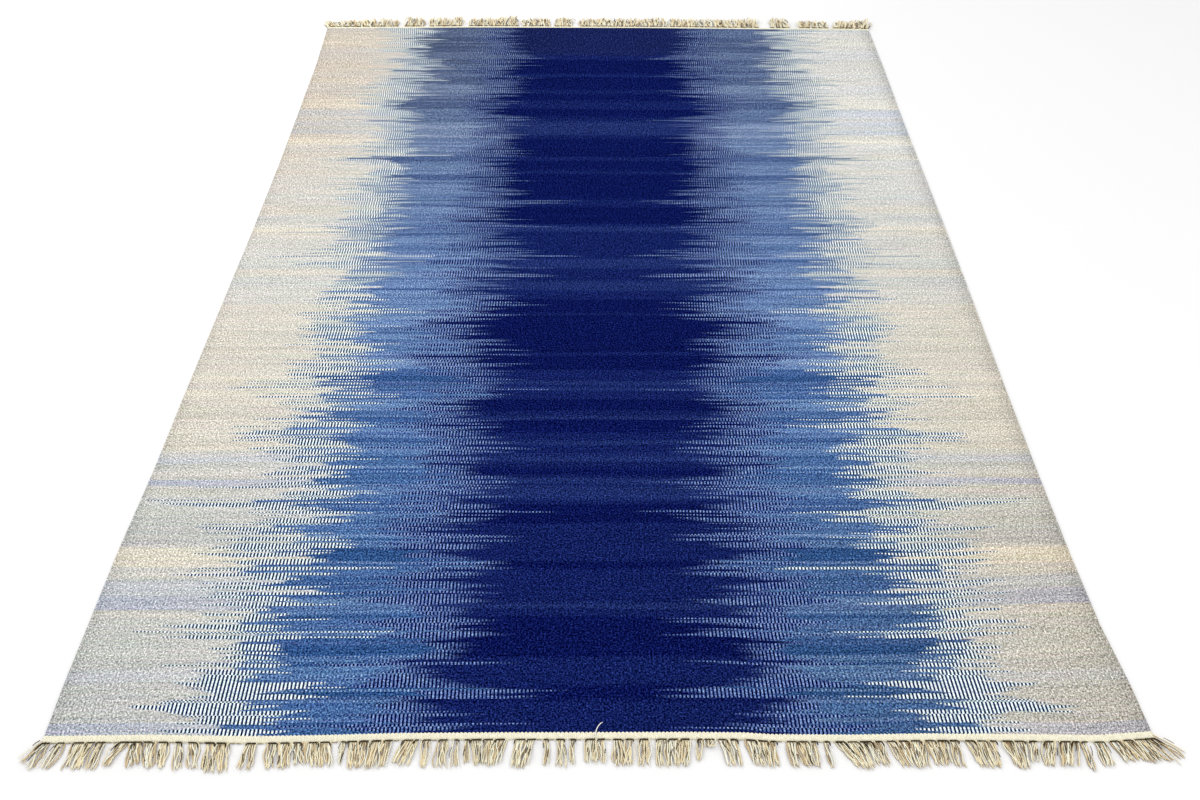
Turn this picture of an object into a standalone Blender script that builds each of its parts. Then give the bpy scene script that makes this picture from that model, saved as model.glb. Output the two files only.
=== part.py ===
"""A flat-woven dhurrie rug, lying open on the floor.

Metres, +Z up, the floor at Z = 0. The weft runs along X, the warp along Y, and the origin is on the floor
under the middle of the whole outline. The woven cloth is laid out first in cloth coordinates: `across` it,
from the left selvedge to the right one, and `along` it, from the front end to the back end. Those are then
drawn in and let out to the edges that the real cloth has.
"""

import math

import bmesh
import bpy

# Driving dimensions.
RUG_WIDTH = 1.70
WOVEN_LENGTH = 2.40  # the field and both headings
HEADING_DEPTH = 0.009
FIELD_THICKNESS = 0.004
HEADING_THICKNESS = 0.0034
FRINGE_THICKNESS = 0.003
JOINT_GAP = 0.0003  # between one solid and the next

# The warp ends leave the heading in small groups, and places along the fringe are counted in half groups.
HALF_GROUPS = 192
HALF_GROUP = RUG_WIDTH / HALF_GROUPS
LEAST_STEP = HALF_GROUP / 4  # between two points of an end's edge

# How far the side edges lie inside the nominal width, by place along the cloth.
SIDE_EDGES = (
    # along, left_in, right_in
    (-1.20, -0.006, -0.003),
    (-1.10, -0.008, 0.002),
    (-1.00, -0.007, 0.011),
    (-0.85, -0.006, 0.014),
    (-0.65, 0.001, 0.014),
    (-0.45, 0.003, 0.012),
    (-0.20, 0.007, 0.007),
    (0.10, 0.012, 0.002),
    (0.40, 0.014, 0.000),
    (0.70, 0.012, -0.002),
    (0.95, 0.010, -0.007),
    (1.20, 0.000, -0.009),
)

# How far the two ends bow out past the nominal length, by place across the cloth.
END_EDGES = (
    # across, front_out, back_out
    (-0.850, 0.005, 0.004),
    (-0.770, 0.004, 0.006),
    (-0.690, 0.003, 0.008),
    (-0.530, 0.006, 0.011),
    (-0.420, 0.004, 0.014),
    (-0.310, 0.001, 0.014),
    (-0.160, 0.000, 0.014),
    (0.000, 0.000, 0.014),
    (0.130, 0.000, 0.014),
    (0.220, 0.001, 0.013),
    (0.260, 0.004, 0.012),
    (0.380, 0.005, 0.010),
    (0.500, 0.003, 0.009),
    (0.620, 0.004, 0.009),
    (0.765, 0.006, 0.007),
    (0.850, 0.000, 0.004),
)
END_BOW_REACH = 0.35  # the bow of an end has died out this far into the field
END_BOW_FULL = 0.02  # and is still whole this far in

# Soft ridges where the cloth doesn't lie quite flat.
RIDGES = (
    # across, along, length, turn in degrees, width, height
    (0.70, -1.015, 0.24, -12.0, 0.060, 0.0022),
    (0.79, -1.110, 0.16, -6.0, 0.050, 0.0014),
    (-0.52, -1.130, 0.20, 4.0, 0.060, 0.0010),
)
# Broad, shallow waves over the whole cloth.
WAVES = (
    # waves across, waves along, phase, height
    (1.3, 2.1, 0.4, 0.00022),
    (2.7, 0.8, 1.9, 0.00016),
    (0.9, 3.7, 3.1, 0.00014),
)

# The bunches that the warp ends lie in: where each leaves the heading and where its cut ends lie, counted in
# half groups from the left, and its length in millimetres.
FRONT_BUNCHES = (
    # root from, root to, tip from, tip to, length
    (0.0, 0.7, -3.4, -1.2, 46),
    (0.7, 1.3, -1.0, 0.6, 44),
    (2.6, 3.8, 1.5, 2.5, 43),
    (5.4, 9.0, 5.0, 8.4, 44),
    (9.3, 10.8, 8.8, 10.2, 45),
    (13.2, 14.7, 11.4, 12.7, 43),
    (14.7, 15.8, 15.5, 16.6, 43),
    (15.8, 17.0, 16.8, 18.0, 38),
    (17.4, 19.6, 18.6, 20.0, 45),
    (19.9, 21.5, 20.6, 21.9, 43),
    (22.8, 23.8, 23.7, 24.7, 49),
    (25.0, 26.5, 26.2, 27.6, 45),
    (27.8, 32.0, 28.3, 32.8, 49),
    (35.0, 36.8, 34.4, 37.2, 43),
    (38.7, 43.0, 38.8, 43.4, 42),
    (43.0, 45.6, 43.6, 46.4, 38),
    (45.6, 49.5, 46.9, 50.2, 41),
    (51.2, 52.0, 51.3, 52.1, 38),
    (52.3, 60.0, 52.9, 59.0, 45),
    (61.8, 64.5, 60.3, 63.3, 44),
    (65.2, 66.6, 65.2, 66.4, 46),
    (68.0, 69.5, 67.7, 69.7, 46),
    (70.6, 71.4, 70.3, 72.0, 48),
    (72.4, 73.2, 72.6, 73.4, 40),
    (73.5, 80.0, 74.3, 78.6, 43),
    (81.1, 84.7, 80.5, 83.5, 47),
    (86.0, 86.8, 85.9, 87.2, 46),
    (88.2, 89.6, 88.0, 90.2, 47),
    (90.6, 91.5, 90.6, 91.7, 42),
    (93.3, 96.6, 93.1, 96.6, 40),
    (98.0, 101.5, 98.3, 101.3, 44),
    (102.6, 104.6, 102.3, 104.4, 44),
    (105.5, 111.7, 105.9, 110.8, 45),
    (112.6, 113.4, 112.1, 112.9, 38),
    (113.7, 115.7, 113.8, 115.2, 15),
    (116.2, 119.4, 117.5, 119.9, 44),
    (121.0, 126.2, 121.8, 126.7, 43),
    (128.0, 133.2, 128.6, 133.5, 43),
    (134.5, 135.3, 135.1, 135.9, 43),
    (136.4, 141.2, 139.6, 142.4, 48),
    (141.2, 144.4, 142.9, 145.2, 42),
    (145.3, 152.0, 147.5, 151.8, 45),
    (152.0, 155.9, 153.0, 155.8, 41),
    (156.2, 157.7, 156.5, 158.0, 44),
    (158.9, 164.2, 160.4, 164.3, 45),
    (165.3, 169.6, 166.7, 168.8, 46),
    (169.9, 171.2, 169.6, 170.8, 37),
    (172.6, 175.0, 171.7, 173.3, 43),
    (175.3, 178.5, 174.2, 177.1, 43),
    (179.0, 180.0, 179.1, 179.9, 48),
    (181.2, 183.4, 181.6, 183.6, 40),
    (184.0, 186.4, 185.2, 187.6, 37),
    (186.4, 188.4, 188.2, 190.2, 39),
    (188.4, 190.2, 190.4, 192.4, 42),
    (190.2, 191.2, 192.7, 194.4, 45),
    (191.2, 192.0, 194.8, 197.0, 54),
)
BACK_BUNCHES = (
    # root from, root to, tip from, tip to, length
    (0.0, 1.0, -1.7, -0.8, 50),
    (1.0, 6.0, -0.6, 4.5, 42),
    (6.0, 13.0, 4.7, 11.5, 47),
    (13.0, 19.0, 11.7, 18.0, 50),
    (19.0, 22.4, 18.2, 21.4, 54),
    (23.2, 24.8, 23.0, 24.3, 48),
    (27.0, 31.0, 28.0, 30.9, 58),
    (31.0, 33.6, 31.1, 33.6, 54),
    (36.0, 41.0, 35.5, 41.0, 52),
    (41.0, 43.6, 41.2, 43.5, 51),
    (43.6, 47.6, 44.4, 46.9, 56),
    (50.0, 53.0, 50.2, 53.2, 51),
    (53.0, 56.4, 53.4, 56.2, 52),
    (56.8, 60.0, 56.4, 59.9, 51),
    (60.0, 64.0, 60.1, 64.3, 59),
    (64.0, 67.6, 64.5, 67.0, 60),
    (69.0, 72.2, 69.0, 71.9, 49),
    (72.6, 79.0, 72.8, 78.3, 51),
    (80.4, 87.0, 80.6, 86.6, 52),
    (89.5, 95.0, 89.8, 95.2, 51),
    (95.0, 101.0, 95.4, 101.2, 51),
    (101.0, 107.0, 101.4, 107.0, 50),
    (107.0, 112.0, 107.2, 111.6, 50),
    (112.0, 115.0, 112.2, 114.8, 52),
    (115.0, 120.0, 115.4, 119.9, 56),
    (121.4, 126.0, 121.8, 126.2, 51),
    (126.0, 133.0, 126.5, 132.4, 51),
    (133.0, 140.0, 132.6, 139.4, 50),
    (140.0, 147.0, 139.6, 146.2, 51),
    (147.0, 153.4, 146.6, 152.7, 56),
    (157.0, 164.0, 157.8, 162.6, 56),
    (167.4, 172.0, 168.8, 172.3, 47),
    (172.0, 178.0, 172.6, 176.8, 47),
    (179.6, 185.0, 180.8, 186.2, 49),
    (185.0, 190.8, 186.4, 191.3, 53),
    (190.8, 192.0, 191.9, 193.6, 58),
)
SPINE_DEPTH = 0.003  # the strip of the comb that its bunches grow from
BUNCH_SECTIONS = (
    # part of the length, height as a part of the fringe's thickness
    (0.33, 1.15),
    (0.70, 0.95),
    (1.00, 0.60),
)

FIELD_ROWS = 40

FRONT = -1
BACK = 1


def table_value(table, place, column):
    """The value of a column at a place, on straight lines between the table's rows."""
    place = min(max(place, table[0][0]), table[-1][0])
    for low, high in zip(table, table[1:]):
        if place <= high[0]:
            part = (place - low[0]) / (high[0] - low[0])
            return low[column] + part * (high[column] - low[column])
    return table[-1][column]


def end_bow(across, along):
    """How far the bow of the nearer end moves a point along the cloth."""
    from_end = max(WOVEN_LENGTH / 2 - abs(along), 0.0)
    share = 1.0 - (from_end - END_BOW_FULL) / (END_BOW_REACH - END_BOW_FULL)
    share = min(max(share, 0.0), 1.0)
    if along < 0.0:
        return -share * table_value(END_EDGES, across, 1)
    return share * table_value(END_EDGES, across, 2)


def on_floor(across, along):
    """Where a point of the cloth lies, in X and Y."""
    left = -RUG_WIDTH / 2 + table_value(SIDE_EDGES, along, 1)
    right = RUG_WIDTH / 2 - table_value(SIDE_EDGES, along, 2)
    x = (left + right) / 2 + across * (right - left) / RUG_WIDTH
    return x, along + end_bow(across, along)


def unevenness(across, along):
    """The height of the cloth's ridges and waves over its own thickness."""
    height = 0.0
    for waves_across, waves_along, phase, size in WAVES:
        turn = waves_across * across / RUG_WIDTH + waves_along * along / WOVEN_LENGTH
        height += size * math.sin(2 * math.pi * turn + phase)
    for middle_across, middle_along, length, turn, width, size in RIDGES:
        angle = math.radians(turn)
        right, up = across - middle_across, along - middle_along
        down_ridge = (right * math.cos(angle) + up * math.sin(angle)) / (length / 2)
        over_ridge = (up * math.cos(angle) - right * math.sin(angle)) / (width / 2)
        height += size * math.exp(-down_ridge**2 - over_ridge**2)
    return height


def cloth_grid(columns, rows):
    """A flat grid in cloth coordinates, with a line of points at each place in columns and rows."""
    mesh = bmesh.new()
    last_column, last_row = len(columns) - 1, len(rows) - 1
    bmesh.ops.create_grid(mesh, x_segments=last_column, y_segments=last_row, size=0.5)
    for point in mesh.verts:
        column = round((point.co.x + 0.5) * last_column)
        row = round((point.co.y + 0.5) * last_row)
        point.co.x = columns[column]
        point.co.y = rows[row]
    return mesh


def laid_solid(name, mesh, top_height, material):
    """Lays a flat mesh in cloth coordinates on the floor, as one closed solid with a flat underside."""
    underside = set(mesh.verts)
    bmesh.ops.extrude_face_region(mesh, geom=list(mesh.faces), use_keep_orig=True)
    for point in mesh.verts:
        across, along = point.co.x, point.co.y
        height = 0.0 if point in underside else top_height(across, along, point.co.z)
        point.co.x, point.co.y = on_floor(across, along)
        point.co.z = height
    bmesh.ops.recalc_face_normals(mesh, faces=list(mesh.faces))
    data = bpy.data.meshes.new(name)
    mesh.to_mesh(data)
    mesh.free()
    data.materials.append(material)
    rug_collection.objects.link(bpy.data.objects.new(name, data))


def cloth_material(name, colour, roughness):
    material = bpy.data.materials.new(name)
    material.use_nodes = True
    shader = material.node_tree.nodes["Principled BSDF"]
    shader.inputs["Base Color"].default_value = (*colour, 1.0)
    shader.inputs["Roughness"].default_value = roughness
    shader.inputs["Metallic"].default_value = 0.0
    return material


def wool_field():
    """The wool cloth between the headings, selvedge to selvedge."""
    stations = [row[0] for row in END_EDGES]
    middles = [(low + high) / 2 for low, high in zip(stations, stations[1:])]
    columns = sorted(stations + middles)
    half = WOVEN_LENGTH / 2 - HEADING_DEPTH - JOINT_GAP
    rows = [half * (2 * row / FIELD_ROWS - 1) for row in range(FIELD_ROWS + 1)]

    def top(across, along, _):
        return FIELD_THICKNESS + unevenness(across, along)

    laid_solid("rug_field", cloth_grid(columns, rows), top, wool)


def counted(half_groups):
    """The place across the cloth of a count of half groups from the left."""
    return half_groups * HALF_GROUP - RUG_WIDTH / 2


def end_columns(bunches):
    """The places across an end where a bunch starts or ends, or its edge turns well away from one."""
    columns = {counted(place) for bunch in bunches for place in bunch[:2]}
    for row in END_EDGES:
        if min(abs(row[0] - column) for column in columns) > LEAST_STEP:
            columns.add(row[0])
    return sorted(columns)


def cotton_heading(name, end):
    """The band of cotton weft that ends the weave."""
    columns = [row[0] for row in END_EDGES]
    half = WOVEN_LENGTH / 2
    rows = sorted((end * half, end * (half - HEADING_DEPTH)))

    def top(across, along, _):
        return HEADING_THICKNESS + unevenness(across, along)

    laid_solid(name, cloth_grid(columns, rows), top, cotton)


def bunch_edges(mesh, low, high, end, outer):
    """The edges of the comb's spine that a bunch grows from."""
    edges = []
    for edge in mesh.edges:
        places = [point.co for point in edge.verts]
        on_rim = all(abs(place.y - end * outer) < JOINT_GAP for place in places)
        if on_rim and low < (places[0].x + places[1].x) / 2 < high:
            edges.append(edge)
    return edges


def warp_fringe(name, end, bunches):
    """The cut warp ends, as one comb: a slim spine along the heading and a tooth for each bunch."""
    inner = WOVEN_LENGTH / 2 + JOINT_GAP
    outer = inner + SPINE_DEPTH
    mesh = cloth_grid(end_columns(bunches), sorted((end * inner, end * outer)))
    for bunch in bunches:
        root_low, root_high, tip_low, tip_high = [counted(place) for place in bunch[:4]]
        lean = (tip_low + tip_high - root_low - root_high) / 2
        reach = math.sqrt((bunch[4] / 1000) ** 2 - lean**2) - SPINE_DEPTH
        rim = bunch_edges(mesh, root_low, root_high, end, outer)
        low, high = root_low, root_high
        for part, height in BUNCH_SECTIONS:
            made = bmesh.ops.extrude_edge_only(mesh, edges=rim)["geom"]
            points = [item for item in made if isinstance(item, bmesh.types.BMVert)]
            rim = [item for item in made if isinstance(item, bmesh.types.BMEdge)]
            rim = [edge for edge in rim if all(point in points for point in edge.verts)]
            next_low = root_low + (tip_low - root_low) * part
            next_high = root_high + (tip_high - root_high) * part
            for point in points:
                share = (point.co.x - low) / (high - low)
                point.co.x = next_low + share * (next_high - next_low)
                point.co.y = end * (outer + reach * part)
                point.co.z = height
            low, high = next_low, next_high

    def top(across, along, height):
        return FRINGE_THICKNESS * (height if height > 0.0 else 1.0)

    laid_solid(name, mesh, top, cotton)


def centre_on_floor():
    """Moves the meshes together, so that the origin lies under the middle of the whole outline."""
    points = [point.co for part in rug_collection.objects for point in part.data.vertices]
    middle_x = (min(point.x for point in points) + max(point.x for point in points)) / 2
    middle_y = (min(point.y for point in points) + max(point.y for point in points)) / 2
    for part in rug_collection.objects:
        for point in part.data.vertices:
            point.co.x -= middle_x
            point.co.y -= middle_y


for old in list(bpy.data.objects):
    bpy.data.objects.remove(old)

rug_collection = bpy.data.collections.new("dhurrie_rug")
bpy.context.scene.collection.children.link(rug_collection)

wool = cloth_material("blue_wool", (0.10, 0.16, 0.36), 0.9)
cotton = cloth_material("cream_cotton", (0.88, 0.80, 0.60), 0.85)

wool_field()
cotton_heading("heading_front", FRONT)
cotton_heading("heading_back", BACK)
warp_fringe("fringe_front", FRONT, FRONT_BUNCHES)
warp_fringe("fringe_back", BACK, BACK_BUNCHES)
centre_on_floor()
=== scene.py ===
"""A flat-woven dhurrie rug, lying open on the floor.

The parts follow in the order that they are made on the loom and after it: the wool cloth, its selvedges, the
cotton headings, the fringes of warp ends, and a loose thread.
"""

import math
import random

import bmesh
import bpy
from mathutils import Matrix, Vector


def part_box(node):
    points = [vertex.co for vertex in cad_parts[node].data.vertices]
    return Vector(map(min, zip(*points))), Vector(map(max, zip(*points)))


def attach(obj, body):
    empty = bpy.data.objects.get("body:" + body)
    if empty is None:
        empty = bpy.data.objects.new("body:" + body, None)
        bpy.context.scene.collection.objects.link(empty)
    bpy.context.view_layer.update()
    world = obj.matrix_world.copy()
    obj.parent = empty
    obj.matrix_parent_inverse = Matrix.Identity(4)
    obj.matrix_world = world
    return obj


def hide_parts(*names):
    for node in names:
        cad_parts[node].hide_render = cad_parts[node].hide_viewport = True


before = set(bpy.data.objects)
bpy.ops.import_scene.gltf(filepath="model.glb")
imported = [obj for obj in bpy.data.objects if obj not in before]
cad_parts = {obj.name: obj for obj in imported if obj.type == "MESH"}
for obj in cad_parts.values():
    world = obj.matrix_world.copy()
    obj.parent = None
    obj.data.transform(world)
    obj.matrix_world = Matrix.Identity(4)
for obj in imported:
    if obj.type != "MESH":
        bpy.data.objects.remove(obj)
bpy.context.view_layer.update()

# ---- Wool field ------------------------------------------------------------------------------------------
# The cloth between the headings: a plain weave, its wool weft beaten down over cotton warps that don't show.
# Two shuttles work in turn, and each yarn was dyed before weaving: ink in the middle, then blue, then the
# pale ground. Where one yarn turns from a colour before the other does, they show as a row of upright teeth.

RUG_WIDTH = 1.70
WOVEN_LENGTH = 2.40
HEADING_DEPTH = 0.009
JOINT_GAP = 0.0003
FIELD_THICKNESS = 0.004
FIELD_HALF = WOVEN_LENGTH / 2 - HEADING_DEPTH - JOINT_GAP
WARP_PITCH = 0.0031
PICK_PAIRS = 992
CLOTH_COLUMNS = 40

# How far the side edges lie inside the nominal width, by place along the cloth.
SIDE_EDGES = (
    # along, left_in, right_in
    (-1.20, -0.006, -0.003),
    (-1.10, -0.008, 0.002),
    (-1.00, -0.007, 0.011),
    (-0.85, -0.006, 0.014),
    (-0.65, 0.001, 0.014),
    (-0.45, 0.003, 0.012),
    (-0.20, 0.007, 0.007),
    (0.10, 0.012, 0.002),
    (0.40, 0.014, 0.000),
    (0.70, 0.012, -0.002),
    (0.95, 0.010, -0.007),
    (1.20, 0.000, -0.009),
)

# How far the two ends bow out past the nominal length, by place across the cloth.
END_EDGES = (
    # across, front_out, back_out
    (-0.850, 0.005, 0.004),
    (-0.770, 0.004, 0.006),
    (-0.690, 0.003, 0.008),
    (-0.530, 0.006, 0.011),
    (-0.420, 0.004, 0.014),
    (-0.310, 0.001, 0.014),
    (-0.160, 0.000, 0.014),
    (0.000, 0.000, 0.014),
    (0.130, 0.000, 0.014),
    (0.220, 0.001, 0.013),
    (0.260, 0.004, 0.012),
    (0.380, 0.005, 0.010),
    (0.500, 0.003, 0.009),
    (0.620, 0.004, 0.009),
    (0.765, 0.006, 0.007),
    (0.850, 0.000, 0.004),
)
END_BOW_REACH = 0.35
END_BOW_FULL = 0.02

# Soft ridges where the cloth doesn't lie quite flat, and broad, shallow waves over all of it.
RIDGES = (
    # across, along, length, turn in degrees, width, height
    (0.70, -1.015, 0.24, -12.0, 0.060, 0.0022),
    (0.79, -1.110, 0.16, -6.0, 0.050, 0.0014),
    (-0.52, -1.130, 0.20, 4.0, 0.060, 0.0010),
)
WAVES = (
    # waves across, waves along, phase, height
    (1.3, 2.1, 0.4, 0.00022),
    (2.7, 0.8, 1.9, 0.00016),
    (0.9, 3.7, 3.1, 0.00014),
)

# Where the beater left the picks out of square: a rise along the cloth towards one side.
ASKEW_PICKS = (
    # starts across, ends across, along, length, rise
    (0.52, 0.84, -0.940, 0.11, 0.013),
    (-0.45, -0.85, -0.640, 0.14, -0.005),
    (-0.30, -0.85, 0.050, 0.30, -0.006),
    (0.35, 0.85, 0.300, 0.40, 0.005),
)

# How the picks ripple along the cloth everywhere, and the length at each end over which they straighten.
PICK_RIPPLES = (
    # rise, radians per metre across, radians per metre along
    (0.0012, 7.0, 23.0),
    (0.0008, 17.0, -41.0),
)
STRAIGHT_ENDS = 0.05

# The dyes, as they look in daylight.
GROUNDS = {
    "lilac": (179, 184, 197),
    "cool": (190, 194, 198),
    "grey": (187, 189, 186),
    "white": (194, 196, 191),
    "bone": (202, 200, 193),
    "cream": (207, 202, 189),
    "butter": (217, 211, 195),
}
BLUES = {
    "deep": (40, 75, 126),
    "denim": (51, 85, 139),
    "mid": (68, 102, 154),
    "dusk": (76, 101, 152),
    "light": (86, 119, 168),
    "pale": (106, 136, 181),
}
INKS = {
    "dark": (6, 17, 75),
    "navy": (14, 28, 86),
    "soft": (25, 41, 98),
    "dusky": (19, 30, 79),
}

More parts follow.
